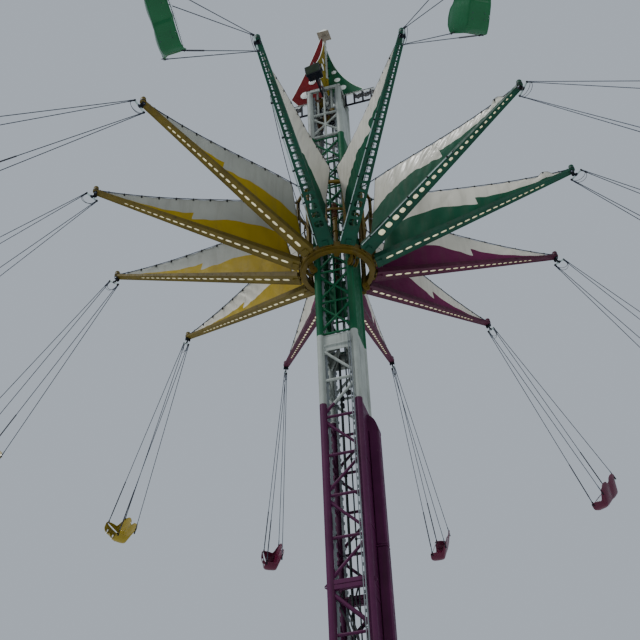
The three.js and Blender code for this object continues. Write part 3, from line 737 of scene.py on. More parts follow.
def side_trunk():
    trunk = Shape()
    inner, out = 0.4393, 0.7
    cover = inner + 0.025
    for z0, z1, coat in (
        (1.011, 5.0, 0), (5.004, 8.4, 0), (8.404, SECTION_JOINT - 0.112, 0),
        (SECTION_JOINT + 0.112, 14.2, 0), (14.204, WHITE_BOTTOM, 0),
        (WHITE_BOTTOM + 0.004, GREEN_BOTTOM, 2), (GREEN_BOTTOM + 0.004, 21.6, 1),
        (21.604, GREEN_TOP - 0.002, 1), (GREEN_TOP + 0.002, 26.598, 2),
    ):
        trunk.block((inner, -0.32, z0), (cover, 0.32, z1), coat, 0.005)
    for z0, z1 in ((1.011, 4.3), (4.31, 8.6), (8.61, 12.86), (12.9, 15.75)):
        trunk.block((cover - 0.002, 0.06, z0), (out, 0.32, z1), 0, 0.03)
    for z in (4.305, 8.605, 12.88):
        trunk.block((cover, 0.06, z - 0.02), (out, 0.32, z + 0.02), 0, 0.008)
        for y in (0.09, 0.19, 0.29):
            trunk.bolt((out - 0.03, y, z + 0.02), UP, 0.012)
    shoulder = [
        (out, 15.70, 0), (out - 0.01, 15.8, 0), (0.62, 16.0, 0), (0.5, 16.14, 0), (cover, 16.15, 0),
    ]
    outline = [(cover, 15.70)] + [(p.x, p.y) for p in smooth_curve(shoulder, 14)]
    trunk.plate(outline, 0.258, standing(0.19))
    for n, z in enumerate(even(1.3, 15.4, 26)):
        for y in (-0.29, 0.02):
            trunk.bolt((cover, y, z), (1, 0, 0), 0.009, 0, False)
        if n % 3 == 1:
            trunk.block((cover, -0.32, z - 0.03), (cover + 0.012, 0.06, z + 0.03))
    trunk.make("trunk_cover", [PURPLE, GREEN, WHITE], "mast", ["side_trunk"], "purple_steel")


def base():
    body, jacks = Shape(), Shape()
    half, root, reach = 0.65, 0.6, 4.4
    body.block((-half, -half, 0), (half, half, PEDESTAL_TOP), 0, 0.02)
    web = [(root, 0.33), (reach, 0.33), (reach, 0.59), (root, 0.75)]
    foot = [(0, 0.036), (0.09, 0.036), (0.085, 0.07), (0.055, 0.1), (0, 0.1)]
    cap = [(0, 0.9), (0.05, 0.9), (0.05, 0.965), (0.03, 0.98), (0, 0.98)]
    rib = [(-0.24, 0.038), (0.24, 0.038), (0.085, 0.085), (-0.085, 0.085)]
    for turn in FACES:
        at = around(turn)
        body.block((half - 0.004, -0.56, 0.72), (half, 0.56, 0.84), 0, 0.004, at)
        holes = [oval(x, 0.5, 0.09, 0.07) for x in (1.4, 2.1, 2.8, 3.5)]
        for y in (-0.105, 0.105):
            body.plate(web, 0.012, at @ standing(y), holes)
        for z0, z1 in ((0.339, 0.339), (0.741, 0.581)):
            body.beam((root, 0, z0), (reach, 0, z1), 0.24, 0.018, at=at)
        for x in (0.9, 1.75, 2.45, 3.15, 3.9):
            top = 0.75 - (x - root) / (reach - root) * 0.16
            body.block((x - 0.006, -0.1, 0.348), (x + 0.006, 0.1, top - 0.02), 0, 0.002, at)
        post = at @ shift(reach, 0, 0)
        body.block((-0.085, -0.085, 0.3), (0.085, 0.085, PEDESTAL_TOP), 0, 0.02, post)
        body.block((-0.1, -0.1, 0.86), (0.1, 0.1, PEDESTAL_TOP), 0, 0.008, post)
        for x, y in CORNERS:
            body.bolt((0.08 * x, 0.08 * y, PEDESTAL_TOP), UP, 0.011, at=post)
        for y in (-0.5, -0.25, 0.0, 0.25, 0.5):
            body.bolt((half, y, 0.78), (1, 0, 0), 0.014, at=at)
        jacks.turned(band(0, 0.045, 0.1, 0.32), post, 20, 1)
        jacks.turned(cap, post, 20)
        jacks.turned(foot, post, 24)
        jacks.block((-0.28, -0.28, 0), (0.28, 0.28, 0.04), 0, 0.008, post)
        for spin in (0, 45, 90, 135):
            jacks.plate(rib, 0.012, post @ around(spin) @ standing())
    body.make("base_weldment", [PURPLE], "mast", ["base_frame"], "purple_steel")
    jacks.make("outrigger_jacks", [BLACK, CHROME], "mast", slot="purple_steel")


mast_sections()
mast_head()
mast_guides()
side_trunk()
base()


# Crown

def lamp_disc(shape, at, radius):
    """A round lamp on a fin: a rim round a domed milky glass."""
    rim = [(-0.01, 0), (0, 0), (0, 0.01), (-0.004, 0.014), (-0.01, 0.012)]
    shape.turned([(radius + r, z) for r, z in rim], at, 28, 2)
    dome = [(radius - 0.01, 0.008), (radius * 0.7, 0.018), (radius * 0.35, 0.023), (0, 0.025)]
    shape.turned(dome, at, 28, 2)


def floodlight():
    """A wide flood lamp on the end of the front ladder: a finned dark housing on a yoke."""
    lamp = Shape()
    at = shift(0.05, -1.545, 26.46) @ around(-5) @ Matrix.Rotation(rad(-6), 4, "Y")
    lamp.block((-0.2, -0.13, -0.17), (0.2, 0.12, 0.17), 0, 0.02, at)
    lamp.block((-0.215, -0.15, -0.185), (0.215, -0.128, 0.185), 0, 0.008, at)
    lamp.block((-0.19, -0.156, -0.16), (0.19, -0.148, 0.16), 1, 0.003, at)
    for n in range(8):
        x = -0.18 + n * 0.05
        for z in (-0.182, 0.168):
            lamp.block((x, -0.11, z), (x + 0.01, 0.11, z + 0.014), 0, 0.003, at)
        lamp.block((x, 0.118, -0.15), (x + 0.01, 0.145, 0.15), 0, 0.003, at)
    for s in SIDES:
        lamp.block((s * 0.218, -0.03, -0.03), (s * 0.232, 0.03, 0.25), 0, 0.003, at)
        lamp.bolt((s * 0.232, 0, 0), (s, 0, 0), 0.018, 2, at=at)
    lamp.block((-0.232, -0.03, 0.238), (0.232, 0.03, 0.252), 0, 0.004, at)
    lamp.beam(at @ Vector((-0.02, 0, 0.25)), (0, -1.36, 26.86), 0.05, 0.05, UP, 0, 0.006)
    lamp.beam((0, -1.37, 26.67), (0, -1.37, 27.1), 0.044, 0.03, (0, 1, 0))
    cable = moved(((0.08, 0.13, 0.05), (0.09, 0.2, -0.02)), at)
    lamp.tube(smooth_curve([*cable, (0.03, -1.25, 26.55), (0.01, -1.0, 26.64)], 16), 0.009)
    lamp.make("crown_floodlight", [BLACK, GLASS_OLIVE, DULL_STEEL], "mast", slot="white_steel")


def fin(name, colour, turns, corners, lamps, nodes, slot, inner):
    """A sail-shaped fin with a bright rim, its lamps, and the ladder that carries it."""
    foot, corner, bend, top = (Vector(p) for p in corners)
    low = foot.y
    edge = []
    for t in even(0, 1, 24):
        edge.append((1 - t) ** 2 * corner + 2 * t * (1 - t) * bend + t * t * top)
    outline = [(inner, low), tuple(foot)] + [(p.x, p.y) for p in edge] + [(inner, top.y)]
    rim = [(foot.x, 0, low + 0.008)] + [(p.x - 0.005, 0, p.y) for p in edge]
    shape = Shape()
    if len(turns) > 1:
        collar = band(0.0504, 0.062, 27.1003, 28.0)
        shape.turned([*collar, collar[0]], None, 28)
    for turn in turns:
        at = around(turn)
        shape.plate(outline, 0.012, at @ standing())
        shape.tube(rim, 0.0105, 8, 2, at=at)
        shape.tube([(x, 0, low + 0.01) for x in (inner + 0.01, foot.x)], 0.012, 8, 2, at=at)
        for z in even(low + 0.25, top.y - 0.5, 4):
            shape.block((inner - 0.01, -0.012, z), (inner + 0.05, 0.012, z + 0.04), 1, 0.003, at)
        for x, z, r in lamps:
            for s in SIDES:
                lamp_disc(shape, at @ basis((x, 0.006 * s, z), (1, 0, 0), (0, s, 0)), r)
        for start, z, reach, coat in ((inner, low - 0.046, 1.38, 2), (0.5, 26.65, 1.29, 1)):
            for half, lift, height, tone, cut in (
                (0.021, 0, 0.012, coat, 0.003), (0.021, 0.034, 0.01, 1, 0.003),
                (0.005, 0.01, 0.026, 1, 0.002),
            ):
                a, b = (start, -half, z + lift), (reach, half, z + lift + height)
                shape.block(a, b, tone, cut, at)
        for x in even(0.53, 1.27, 3):
            shape.block((x - 0.024, -0.018, 26.66), (x + 0.024, 0.018, low - 0.03), 1, 0.005, at)
        shape.block((1.275, -0.012, 26.7), (1.3, 0.012, low - 0.03), 2, 0.003, at)
        for x in (0.56, 0.8):
            shape.bolt((x, 0.006, low + 0.035), (0, 1, 0), 0.01, 1, at=at)
        dice = random.Random(turn + 3)
        for start, stop in ((0.8, 1.0), (1.05, 1.24), (1.31, 1.375)):
            for strand in range(9):
                hang = low - 0.07 - dice.uniform(0, 0.17)
                line = []
                for k in range(7):
                    sway = dice.uniform(-0.014, 0.014)
                    z = 0.03 * math.sin(k * 1.9 + strand) - 0.05 * math.sin(math.pi * k / 6)
                    line.append((start + (stop - start) * k / 6, sway, hang + z))
                shape.tube(smooth_curve(line, 18), 0.012, 6, 3, at=at)
    shape.make(name, [colour, BLACK, TRIM, RUBBER], "mast", nodes, slot)


def crown():
    pole = Shape()
    pole.turned([(0, MAST_TOP), (0.05, MAST_TOP + 0.0003), (0.05, 30.1), (0, 30.1)], None, 28)
    foot = [(0.05, 28.002), (0.075, 28.002), (0.075, 28.02), (0.055, 28.05), (0.05, 28.05)]
    pole.turned(foot, None, 28)
    for z in (28.6, 29.1, 29.5):
        pole.turned(band(0.05, 0.058, z, z + 0.04), None, 28)
    half, low, top = 0.18, 30.07, 30.4
    edge = half - 0.008
    # Under the white roof, the lantern's underside, frame, spokes and sleeve take the grey of
    # painted shade.
    pole.block((-edge, -edge, low + 0.004), (edge, edge, low + 0.016), 2, 0.003)
    for turn in FACES:
        at = around(turn)
        pole.block((half - 0.02, -half, low), (half, half - 0.02, low + 0.022), 2, 0.003, at)
        eave, peak = (half - 0.006, half - 0.006, low + 0.02), (0.01, 0.01, top - 0.014)
        pole.beam(eave, peak, 0.014, 0.01, UP, 1, at=at)
        pole.beam((0.05, 0, low), (half - 0.02, 0, low), 0.016, 0.012, UP, 2, 0.003, at)
    pole.turned(band(0.05, 0.056, 29.7, low), None, 24, 2)
    roof = [(edge * 1.4142, low + 0.016), (0.11, low + 0.2), (0.02, top - 0.012), (0, top - 0.004)]
    pole.turned(roof, None, 4, 1, rad(45))
    knob = [(0, -0.03), (0.02, -0.03), (0.024, -0.015), (0.014, -0.001), (0, 0)]
    pole.turned([(r, top + z) for r, z in knob], None, 16, 1)
    pole.make("crown_pole_lantern", [WHITE, TRIM, LANTERN_SHADED], "mast", ["crown_pole"], "white_steel")
    floodlight()

    row = [(0.335, 28.46, 0.085), (0.43, 28.07, 0.11), (0.65, 27.555, 0.15)]
    short_row = [(0.233, 28.245, 0.074), (0.32, 27.868, 0.088), (0.472, 27.477, 0.1)]
    short = ((1.0, 27.15), (1.05, 27.22), (0.3, 27.9), (0.08, 29.34))
    wide = ((0.87, 27.15), (1.08, 27.5), (0.53, 28.68), (0.12, 29.98))
    tall = ((0.87, 27.15), (1.08, 27.5), (0.48, 28.5), (0.12, 29.64))
    for name, node, colour, turns, corners, lamps, inner in (
        ("fin_green_panel", "fin_green", GREEN, [0], short, short_row, 0.0623),
        ("fin_red_panel", "fin_red", RED, [180], wide, row, 0.0623),
        ("fins_yellow_panels", "fins_yellow", YELLOW, [90, 270], tall, row, 0.06),
    ):
        slot = node.split("_")[1] + "_steel"
        fin(f"crown_{name}", colour, turns, corners, lamps, [f"crown_{node}"], slot, inner)


crown()


# Carriage and hub

ROLLER_R = 0.7451
ROLLER_LEVELS = (20.26, 21.81)


def drive(shape, at):
    """An upright gearmotor: gearbox, tall barrel with flanges, and a finned motor on top."""
    body = [(0, 20.446), (0.074, 20.446), (0.075, 20.46), (0.075, 20.56), (0.062, 20.58)]
    body += [(0.062, 20.76)]
    for z in (20.78, 21.2, 21.62):
        body += [(0.052, z), (0.072, z + 0.01), (0.072, z + 0.035), (0.052, z + 0.045)]
    shape.turned(body + [(0.052, 21.7), (0, 21.7)], at, 24)
    motor = [(0, 21.7), (0.07, 21.7)]
    for k in range(12):
        z = 21.72 + 0.034 * k
        motor += [(0.074, z), (0.074, z + 0.012), (0.064, z + 0.016), (0.064, z + 0.03)]
    motor += [(0.07, 22.14), (0.06, 22.185), (0.03, 22.2), (0, 22.2)]
    shape.turned(motor, at, 24, 1)
    shape.block((0.05, -0.035, 21.86), (0.088, 0.035, 21.98), 1, 0.006, at)


def carriage():
    body, tyres = Shape(), Shape()
    for ring in (
        (0.785, 0.915, 20.44, 20.462, 0.004), (0.785, 0.915, 20.506, 20.53, 0.004),
        (0.8, 0.9, 20.46, 20.508, 0.003), (0.78, 0.81, 21.92, 21.995, 0.004),
    ):
        body.turned(closed_ring(*ring), None, 96)
    web = [
        (0.7, 20.15), (0.77, 20.15), (0.81, 20.2), (0.81, 21.95), (0.78, 22.0), (0.7, 22.0),
        (0.7, 21.62), (0.725, 21.5), (0.725, 20.6), (0.7, 20.5),
    ]
    holes = [oval(0.769, z, 0.02, 0.06, 12) for z in (20.82, 21.02, 21.22, 21.42)]
    stay = [(0.76, 20.456), (0.84, 20.456), (0.79, 20.3), (0.76, 20.3)]
    tyre = [(0.03, 0.026), (0.073, 0.026), (0.0785, 0.02)]
    tyre = [(r, -y) for r, y in tyre] + tyre[::-1]
    disc = [
        (0.02, 0.078), (0.108, 0.078), (0.115, 0.083), (0.115, 0.094), (0.108, 0.099),
        (0.02, 0.099), (0.02, 0.078),
    ]
    for turn in (45, 135, 225, 315):
        at = around(turn)
        for s in SIDES:
            body.plate(web, 0.014, at @ standing(0.037 * s), holes)
            body.plate(stay, 0.008, at @ standing(0.05 * s))
        for z in (20.72, 20.92, 21.12, 21.32, 21.55):
            body.block((0.735, -0.031, z - 0.005), (0.8, 0.031, z + 0.005), 0, 0.001, at)
        for z in ROLLER_LEVELS:
            axle = at @ basis((ROLLER_R, 0, z), (1, 0, 0), (0, 1, 0))
            tyres.turned(tyre, axle, 36)
            tyres.turned(band(0, 0.048, -0.028, 0.028), axle, 24, 1)
            for s in SIDES:
                y = 0.0441 if s > 0 else -0.098
                body.turned(band(0, 0.05, y, y + 0.054), axle, 24)
                side = axle if s > 0 else axle @ Matrix.Rotation(rad(180), 4, "X")
                body.turned(disc, side, 36)
                for x, y in oval(0, 0, 0.078, 0.078, 8):
                    spot = side @ shift(x, y, 0.0985)
                    rim = band(0.012, 0.02, 0, 0.004)
                    body.turned([*rim, rim[0]], spot, 12)
                    body.turned([(0, 0), (0.0125, 0), (0, 0.0006)], spot, 12, 2)
                body.bolt((0, 0, 0.097), UP, 0.018, 1, at=side)
    for turn in (104, 284):
        drive(body, around(turn) @ shift(0.72, 0, 0))
    coats = [OCHRE, RUST, BLACK]
    body.make("carriage_ring", coats, "carriage", ["carriage_frame"], "ochre_steel")
    tyres.make("carriage_rollers", [RUBBER, DULL_STEEL], "carriage", slot="ochre_steel")


def hub():
    shape = Shape()
    low, high, top = 20.5303, 20.7003, 22.82
    shape.turned(closed_ring(0.82, 0.94, low, high, 0.012), None, 96)
    shape.turned(closed_ring(0.925, 0.99, 22.73, 22.81), None, 96)
    shape.turned(closed_ring(0.84, 0.88, high - 0.01, high + 0.02, 0.004), None, 96)
    for n in range(48):
        a = rad(7.5 * n + 3.75)
        spot = (0.86 * math.cos(a), 0.86 * math.sin(a), high + 0.02)
        shape.bolt(spot, UP, 0.012, 1, False)
    web = [(0.93, high - 0.002), (0.99, high - 0.002), (0.99, top - 0.005), (0.93, top - 0.005)]
    holes = [oval(0.961, z, 0.016, 0.075, 12) for z in even(20.95, 22.55, 7)]
    knee = [(0.88, high - 0.005), (0.93, high - 0.005), (0.93, high + 0.3), (0.915, high + 0.3)]
    for n in range(12):
        at = around(30 * n)
        shape.block((0.985, -0.045, 20.533), (1.0, 0.045, top), 0, 0.004, at)
        shape.block((0.925, -0.045, high), (0.938, 0.045, top), 0, 0.004, at)
        shape.plate(web, 0.01, at @ standing(), holes)
        shape.block((0.93, -0.05, top - 0.015), (0.995, 0.05, top), 0, 0.003, at)
        for s in SIDES:
            shape.plate(knee, 0.01, at @ standing(0.036 * s))
            for x, z0, z1 in (
                (0.955, low + 0.01, low + 0.022), (0.955, high - 0.03, high - 0.018),
                (0.986, low + 0.01, high - 0.018),
            ):
                shape.block((x, s * 0.045, z0), (0.998, s * 0.14, z1), 0, 0.003, at)
            for y in (0.075, 0.115):
                shape.bolt((0.972, s * y, high - 0.018), UP, 0.012, 1, at=at)
    shape.make("hub_ring", [OCHRE, DULL_STEEL], "star", ["hub_frame"], "ochre_steel")


carriage()
hub()


# Arms. Each is drawn along X, with r for the distance from the mast's axis.

TIE_SAG = (
    (1.0, 22.76), (1.5, 22.69), (2.1, 22.62), (3.65, 22.37), (4.67, 22.24), (5.66, 22.185),
    (6.1, 22.19),
)
PIPE_END = {0: 4.85, 1: 4.3, 2: 4.05}
GLOW_FROM = 1.22


def share(r):
    return (r - BOOM_FROM) / (ARM_R - BOOM_FROM)


def boom_low(r):
    return BOOM_Z + BOOM_SLOPE * (r - BOOM_FROM)


def boom_depth(r):
    return 0.15 - 0.085 * share(r)


def boom_half(r):
    return 0.185 - 0.107 * share(r)


def curve_at(table, x):
    """A smooth curve through a short table of (x, y) pairs, read at x."""
    last = len(table) - 1
    x = min(max(x, table[0][0]), table[last][0])
    i = 0
    while i < last - 1 and x > table[i + 1][0]:
        i += 1

    def slope(k):
        (a, ya), (b, yb) = table[max(k - 1, 0)], table[min(k + 1, last)]
        return (yb - ya) / (b - a)
    (a, ya), (b, yb) = table[i], table[i + 1]
    wide = b - a
    t = (x - a) / wide
    return (
        ya * (1 + 2 * t) * (1 - t) ** 2 + slope(i) * wide * t * (1 - t) ** 2
        + yb * t * t * (3 - 2 * t) - slope(i + 1) * wide * t * t * (1 - t)
    )


def tie_z(r):
    return curve_at(TIE_SAG, r)


def bar(shape, r0, r1, edges, paint=0):
    """A straight bar from r0 to r1. edges(r) gives its two sides and its two heights."""
    verts = []
    for r in (r0, r1):
        y0, y1, z0, z1 = edges(r)
        verts += [(r, y0, z0), (r, y1, z0), (r, y1, z1), (r, y0, z1)]
    faces = [(0, 1, 2, 3), (7, 6, 5, 4)]
    faces += [(k, k + 4, (k + 1) % 4 + 4, (k + 1) % 4) for k in range(4)]
    shape.add(verts, facing_out(verts, faces), paint)


def web_cell(shape, r0, r1, half_long, half_wide, across=0.0):
    """One bay of the perforated web, with a rounded hole in its middle."""
    middle = (r0 + r1) / 2
    corners = [(r0, -1), (r1, -1), (r1, 1), (r0, 1)]
    outer, inner = [], []
    for k in range(16):
        side, step = divmod(k, 4)
        (ra, ya), (rb, yb) = corners[side], corners[(side + 1) % 4]
        r, w = ra + (rb - ra) * step / 4, ya + (yb - ya) * step / 4
        outer.append((r, w * (boom_half(r) - 0.004)))
        u = (r - middle) / ((r1 - r0) / 2)
        far = (abs(u) ** 3 + abs(w) ** 3) ** (1 / 3)
        inner.append((middle + half_long * u / far, across + half_wide * w / far))
    verts = [(r, y, boom_low(r) + z) for z in (0.004, 0.012) for r, y in outer + inner]
    faces = []
    for k in range(16):
        m = (k + 1) % 16
        faces += [(16 + k, 16 + m, m, k), (32 + k, 32 + m, 48 + m, 48 + k)]
        faces.append((48 + k, 48 + m, 16 + m, 16 + k))
    shape.add(verts, faces)


def web(shape, slots, lit):
    """The boom's underside: graded round holes, or a row of slots.

    A lit one has a glowing strip of painted sunlight above it, and the others a spine and
    crossbars.
    """
    def sheet(q):
        half, low = boom_half(q) - 0.004, boom_low(q)
        return -half, half, low + 0.004, low + 0.012

    # The glowing strip of painted sunlight, seen through the holes.
    def glow_strip(q):
        half, low = (0.3 if slots else 0.8) * boom_half(q), boom_low(q)
        return -half, half, low + 0.02, low + 0.024
    r, last = (GLOW_FROM, 5.35) if slots else (1.47, 5.8)
    bar(shape, BOOM_FROM, r, sheet)
    while r < last:
        pitch = 1.44 * boom_half(r + 0.09)
        middle = r + pitch / 2
        k, half = share(middle), boom_half(middle)
        if slots:
            web_cell(shape, r, r + pitch, 0.36 * pitch, 0.21 * half)
        elif lit:
            long, wide = (0.34 - 0.1 * k) * pitch, (0.52 - 0.34 * k) * half
            web_cell(shape, r, r + pitch, long, wide, -0.22 * half)
        else:
            wide = (0.7 - 0.2 * k) * half
            web_cell(shape, r, r + pitch, 0.36 * pitch, wide)
            z = boom_low(middle) + 0.022
            shape.tube([(middle, -wide - 0.01, z), (middle, wide + 0.01, z)], 0.008, 6)
        r += pitch
    bar(shape, r, BOOM_TO, sheet)
    if lit:
        bar(shape, GLOW_FROM, r, glow_strip, 5)
    else:
        shape.tube([(q, 0, boom_low(q) + 0.024) for q in (BOOM_FROM, BOOM_TO)], 0.009)


def channel(shape, s):
    """A folded side channel of the boom: a skin, a top flange and a bottom flange."""
    def fold(y_in, y_out, z_low, z_high):
        def edges(q):
            edge, low, deep = boom_half(q), boom_low(q), boom_depth(q)
            return s * (edge - y_in), s * (edge - y_out), low + z_low(deep), low + z_high(deep)
        bar(shape, BOOM_FROM, BOOM_TO, edges)
    fold(0.006, 0.0, lambda d: 0.0, lambda d: d)
    fold(0.045, 0.004, lambda d: d - 0.007, lambda d: d)
    fold(0.03, 0.004, lambda d: 0.0, lambda d: 0.005)
    for rise, radius in ((boom_depth, 0.009), (lambda q: 0.018, 0.007)):
        stations = (BOOM_FROM, 3.5, BOOM_TO - 0.01)
        line = [(q, s * (boom_half(q) - 0.008), boom_low(q) + rise(q) - 0.009) for q in stations]
        shape.tube(line, radius)
    for q in even(1.3, 5.7, 11):
        spot = (q, s * (boom_half(q) - 0.002), boom_low(q) + 0.5 * boom_depth(q))
        shape.bolt(spot, (0, s, 0), 0.008, 1, False)


def side_pipe(shape, n):
    """A pale conduit clamped along the trailing side of the boom."""
    end = PIPE_END[n]
    gap = 0.04 if n == 0 else 0.014
    line = []
    for q in even(1.06, end, 12):
        y = -boom_half(q) - gap * min(1, (end - q) / 0.6 + 0.3)
        line.append((q, y, boom_low(q) + 0.03))
    shape.tube(line, 0.013, 10, 4)
    plug = (end + 0.05, -boom_half(end) + 0.01, boom_low(end) + 0.05)
    shape.tube([line[-1], plug], 0.012, 8, 1)
    for q in even(1.35, end - 0.15, 4):
        edge, z = -boom_half(q), boom_low(q) + 0.03
        low, high = (q - 0.02, edge - gap - 0.022, z - 0.022), (q + 0.02, edge + 0.002, z + 0.022)
        shape.block(low, high, 1, 0.005)
    if n == 0:
        loose = (
            (4.85, -0.13, 0.05), (4.0, -0.22, 0.02), (3.0, -0.3, 0.0), (2.2, -0.33, 0.0),
            (1.5, -0.27, 0.02), (1.0, -0.13, 0.06),
        )
        line = [(q, y, boom_low(q) + z) for q, y, z in loose]
        shape.tube(smooth_curve(line, 40), 0.008, 8, 1)


def boom_tip(shape, n):
    """The collar at the end of the boom, its clevis and the pin that carries the swing."""
    tip = shift(ARM_R, 0, 0)
    collar = [
        (0, 22.085), (0.048, 22.085), (0.055, 22.1), (0.062, 22.105), (0.075, 22.13),
        (0.075, 22.19), (0.068, 22.2), (0.062, 22.24), (0.066, 22.25), (0.06, 22.28),
        (0.045, 22.29), (0, 22.29),
    ]
    shape.turned(collar, tip, 28)
    joint = [(0.075, 22.145), (0.0765, 22.149), (0.0765, 22.171), (0.075, 22.175)]
    shape.turned(joint, tip, 28, 1)
    fish = [(-0.17, -0.045), (-0.03, -0.03), (-0.03, 0.04), (-0.17, 0.03)]
    for s in SIDES:
        shape.plate(fish, 0.008, tip @ shift(0, s * 0.062, 22.105) @ standing())
    heading = tip @ around(-SWING_LAG[n])
    cheek = [(-0.038, 22.08), (-0.038, 22.02), (-0.025, 21.997), (0, 21.992)]
    cheek += [(-x, z) for x, z in cheek[-2::-1]]
    knob = [(0, 0), (0.024, 0), (0.024, 0.006), (0.02, 0.009), (0, 0.009)]
    for s in SIDES:
        shape.plate(cheek, 0.016, heading @ standing(s * 0.0583), (), 1)
        cap = heading @ basis((0, 0.0663 * s, HINGE_Z), (1, 0, 0), (0, s, 0))
        shape.turned(knob, cap, 18, 2)
    shape.block((-0.045, -0.068, 22.075), (0.045, 0.068, 22.095), 1, 0.004, heading)


def tie(shape):
    rope = [(q, 0, tie_z(q)) for q in even(BOOM_FROM + 0.0013, ARM_R - 0.07, 24)]
    shape.tube(rope, 0.0105, 10, 3)
    for start, end in ((BOOM_FROM, BOOM_FROM + 0.34), (5.76, 6.03)):
        shape.tube([(q, 0, tie_z(q)) for q in even(start, end, 5)], 0.014, 10, 2)
        for q in (start + 0.02, end - 0.03):
            lean = math.atan((tie_z(q - 0.02) - tie_z(q + 0.02)) / 0.04)
            at = shift(q, 0, tie_z(q)) @ Matrix.Rotation(rad(90) + lean, 4, "Y")
            shape.turned(band(0, 0.0235, -0.018, 0.018), at, 6, 2)
    low, high = TIE_ROOT_Z - 0.035, TIE_ROOT_Z + 0.035
    shape.block((BOOM_FROM, -0.03, low), (BOOM_FROM + 0.03, 0.03, high), 0, 0.006)


def build_arm(n):
    colour = COLOURS[n // 4]
    shape = Shape(around(270 + 30 * n))
    web(shape, n > 2, n > 1)
    for s in SIDES:
        channel(shape, s)
    face = BOOM_FROM + 0.012
    shape.block((BOOM_FROM, -0.183, BOOM_Z + 0.004), (face, 0.183, BOOM_Z + 0.15), 0, 0.003)
    shape.block((BOOM_FROM, -0.07, BOOM_Z), (BOOM_FROM + 0.16, 0.07, BOOM_Z + 0.09), 0, 0.01)
    for y in (-0.14, 0.14):
        for z in (0.04, 0.11):
            shape.bolt((face, y, BOOM_Z + z), (1, 0, 0), 0.012, 1)
    if n in PIPE_END:
        side_pipe(shape, n)
    boom_tip(shape, n)
    tie(shape)
    paints = [ARM_PAINT[n // 4], BLACK, DULL_STEEL, TIE_ROPE, CONDUIT, PAINTED_SUNLIGHT]
    shape.make(f"boom_{n + 1:02d}", paints, "star", [f"arm_{n + 1:02d}"], f"{colour}_steel")


for n in range(12):
    build_arm(n)


# Sails

WAVE = ((0, 0.42), (0.15, 0.5), (0.33, 0.52), (0.45, 0.4), (0.53, 0.27))
CREST = ((0.536, 0.53), (0.6, 0.45), (0.7, 0.38), (0.85, 0.37), (1.0, 0.36))
WAVE_STEPS, CREST_STEPS = 46, 44
COLOUR_ROWS, WHITE_ROWS = 10, 16
SAIL_GAP = 0.016
HOOK_PITCH = 0.43
LEAN = {
    0: (
        (1.1, 0.34), (1.26, 0.35), (1.9, 0.28), (3.0, 0.19), (3.6, 0.17), (4.2, 0.13), (4.7, 0.09),
        (5.45, 0.01), (6.1, 0.0),
    ),
    1: (
        (1.1, -0.3), (1.6, -0.3), (1.9, -0.25), (2.7, -0.2), (3.6, -0.16), (4.7, -0.13),
        (5.6, -0.07), (6.1, 0.0),
    ),
}
LEVEL = ((1.0, 0.0), (6.1, 0.0))
CREASED = {0: 0.5, 1: 1.2, 2: 1.5, 7: 0.4, 8: 1.0}
GATHERED = (2, 3)


def between(table, x):
    """A smooth reading of a short table of (x, y) pairs."""
    if x <= table[0][0]:
        return table[0][1]
    for (a, ya), (b, yb) in zip(table, table[1:]):
        if x <= b:
            t = (x - a) / (b - a)
            return ya + (yb - ya) * t * t * (3 - 2 * t)
    return table[-1][1]


def arch(x):
    """A smooth rise and fall over 0 to 1, never below zero."""
    return max(0.0, math.sin(math.pi * min(1, max(0, x))))


def crease(x):
    """Sharp ridges with round valleys, one for each whole x."""
    return 1 - abs(math.sin(math.pi * x)) ** 0.6


def sail_point(n, t, v, belly, strong, phase):
    """A point of a sail. t runs outward from 0 to 1, and v runs up from the boom to the tie."""
    inner = SAIL_FROM_LOW + (SAIL_FROM_HIGH - SAIL_FROM_LOW) * v
    s = t - 0.1 * arch(t) * (v - 0.35)
    r = inner + (SAIL_TO - inner) * s + 0.04 * arch(v) * (1 - t) ** 6
    low = boom_low(r) + boom_depth(r) + 0.0005
    high = tie_z(r) - SAIL_GAP
    hooks = (r - SAIL_FROM_HIGH) / HOOK_PITCH
    droop = 0.03 * abs(math.sin(math.pi * hooks)) * (1 - t) ** 0.3
    lump = arch((r - 5.26) / 0.38) * v if n in GATHERED else 0.0
    z = low + (high - low) * v - droop * v ** 8 + 0.075 * lump
    free = arch(s) ** 0.6 * arch(v) ** 0.8
    y = -belly * free * min(1, (high - low) / 1.2) + curve_at(LEAN.get(n, LEVEL), r) * v ** 1.15
    slant = (r * 1.25 - z * 0.83) / 0.33 + phase + 0.35 * math.sin(2.1 * r + n)
    fold = crease(slant) * (0.35 + 0.65 * math.sin(1.7 * r + n) ** 2)
    y += 0.085 * strong * (0.06 + 0.94 * v ** 1.6) * free ** 0.7 * (fold - 0.35)
    inside = min(1, 6 * v * (1 - v)) * min(1, s * 8) * min(1, (1 - s) * 8)
    ripple = math.sin((r * 1.3 - z * 0.5) * 9 + phase) * 0.006
    fan = crease(hooks + 0.5 + 0.25 * (1 - v)) * max(0, v - 0.5) * 0.05
    bunch = crease(r / 0.085 + z * 3) * 0.03 * max(0, min(1, (s - 0.84) * 12)) * (0.3 + strong)
    y += (ripple + fan * (0.5 + strong) + bunch * min(1, 8 * v)) * inside
    y -= lump * (0.05 + 0.04 * crease(r / 0.09 + 2 * z))
    return Vector((r, y, z)), (r, z)


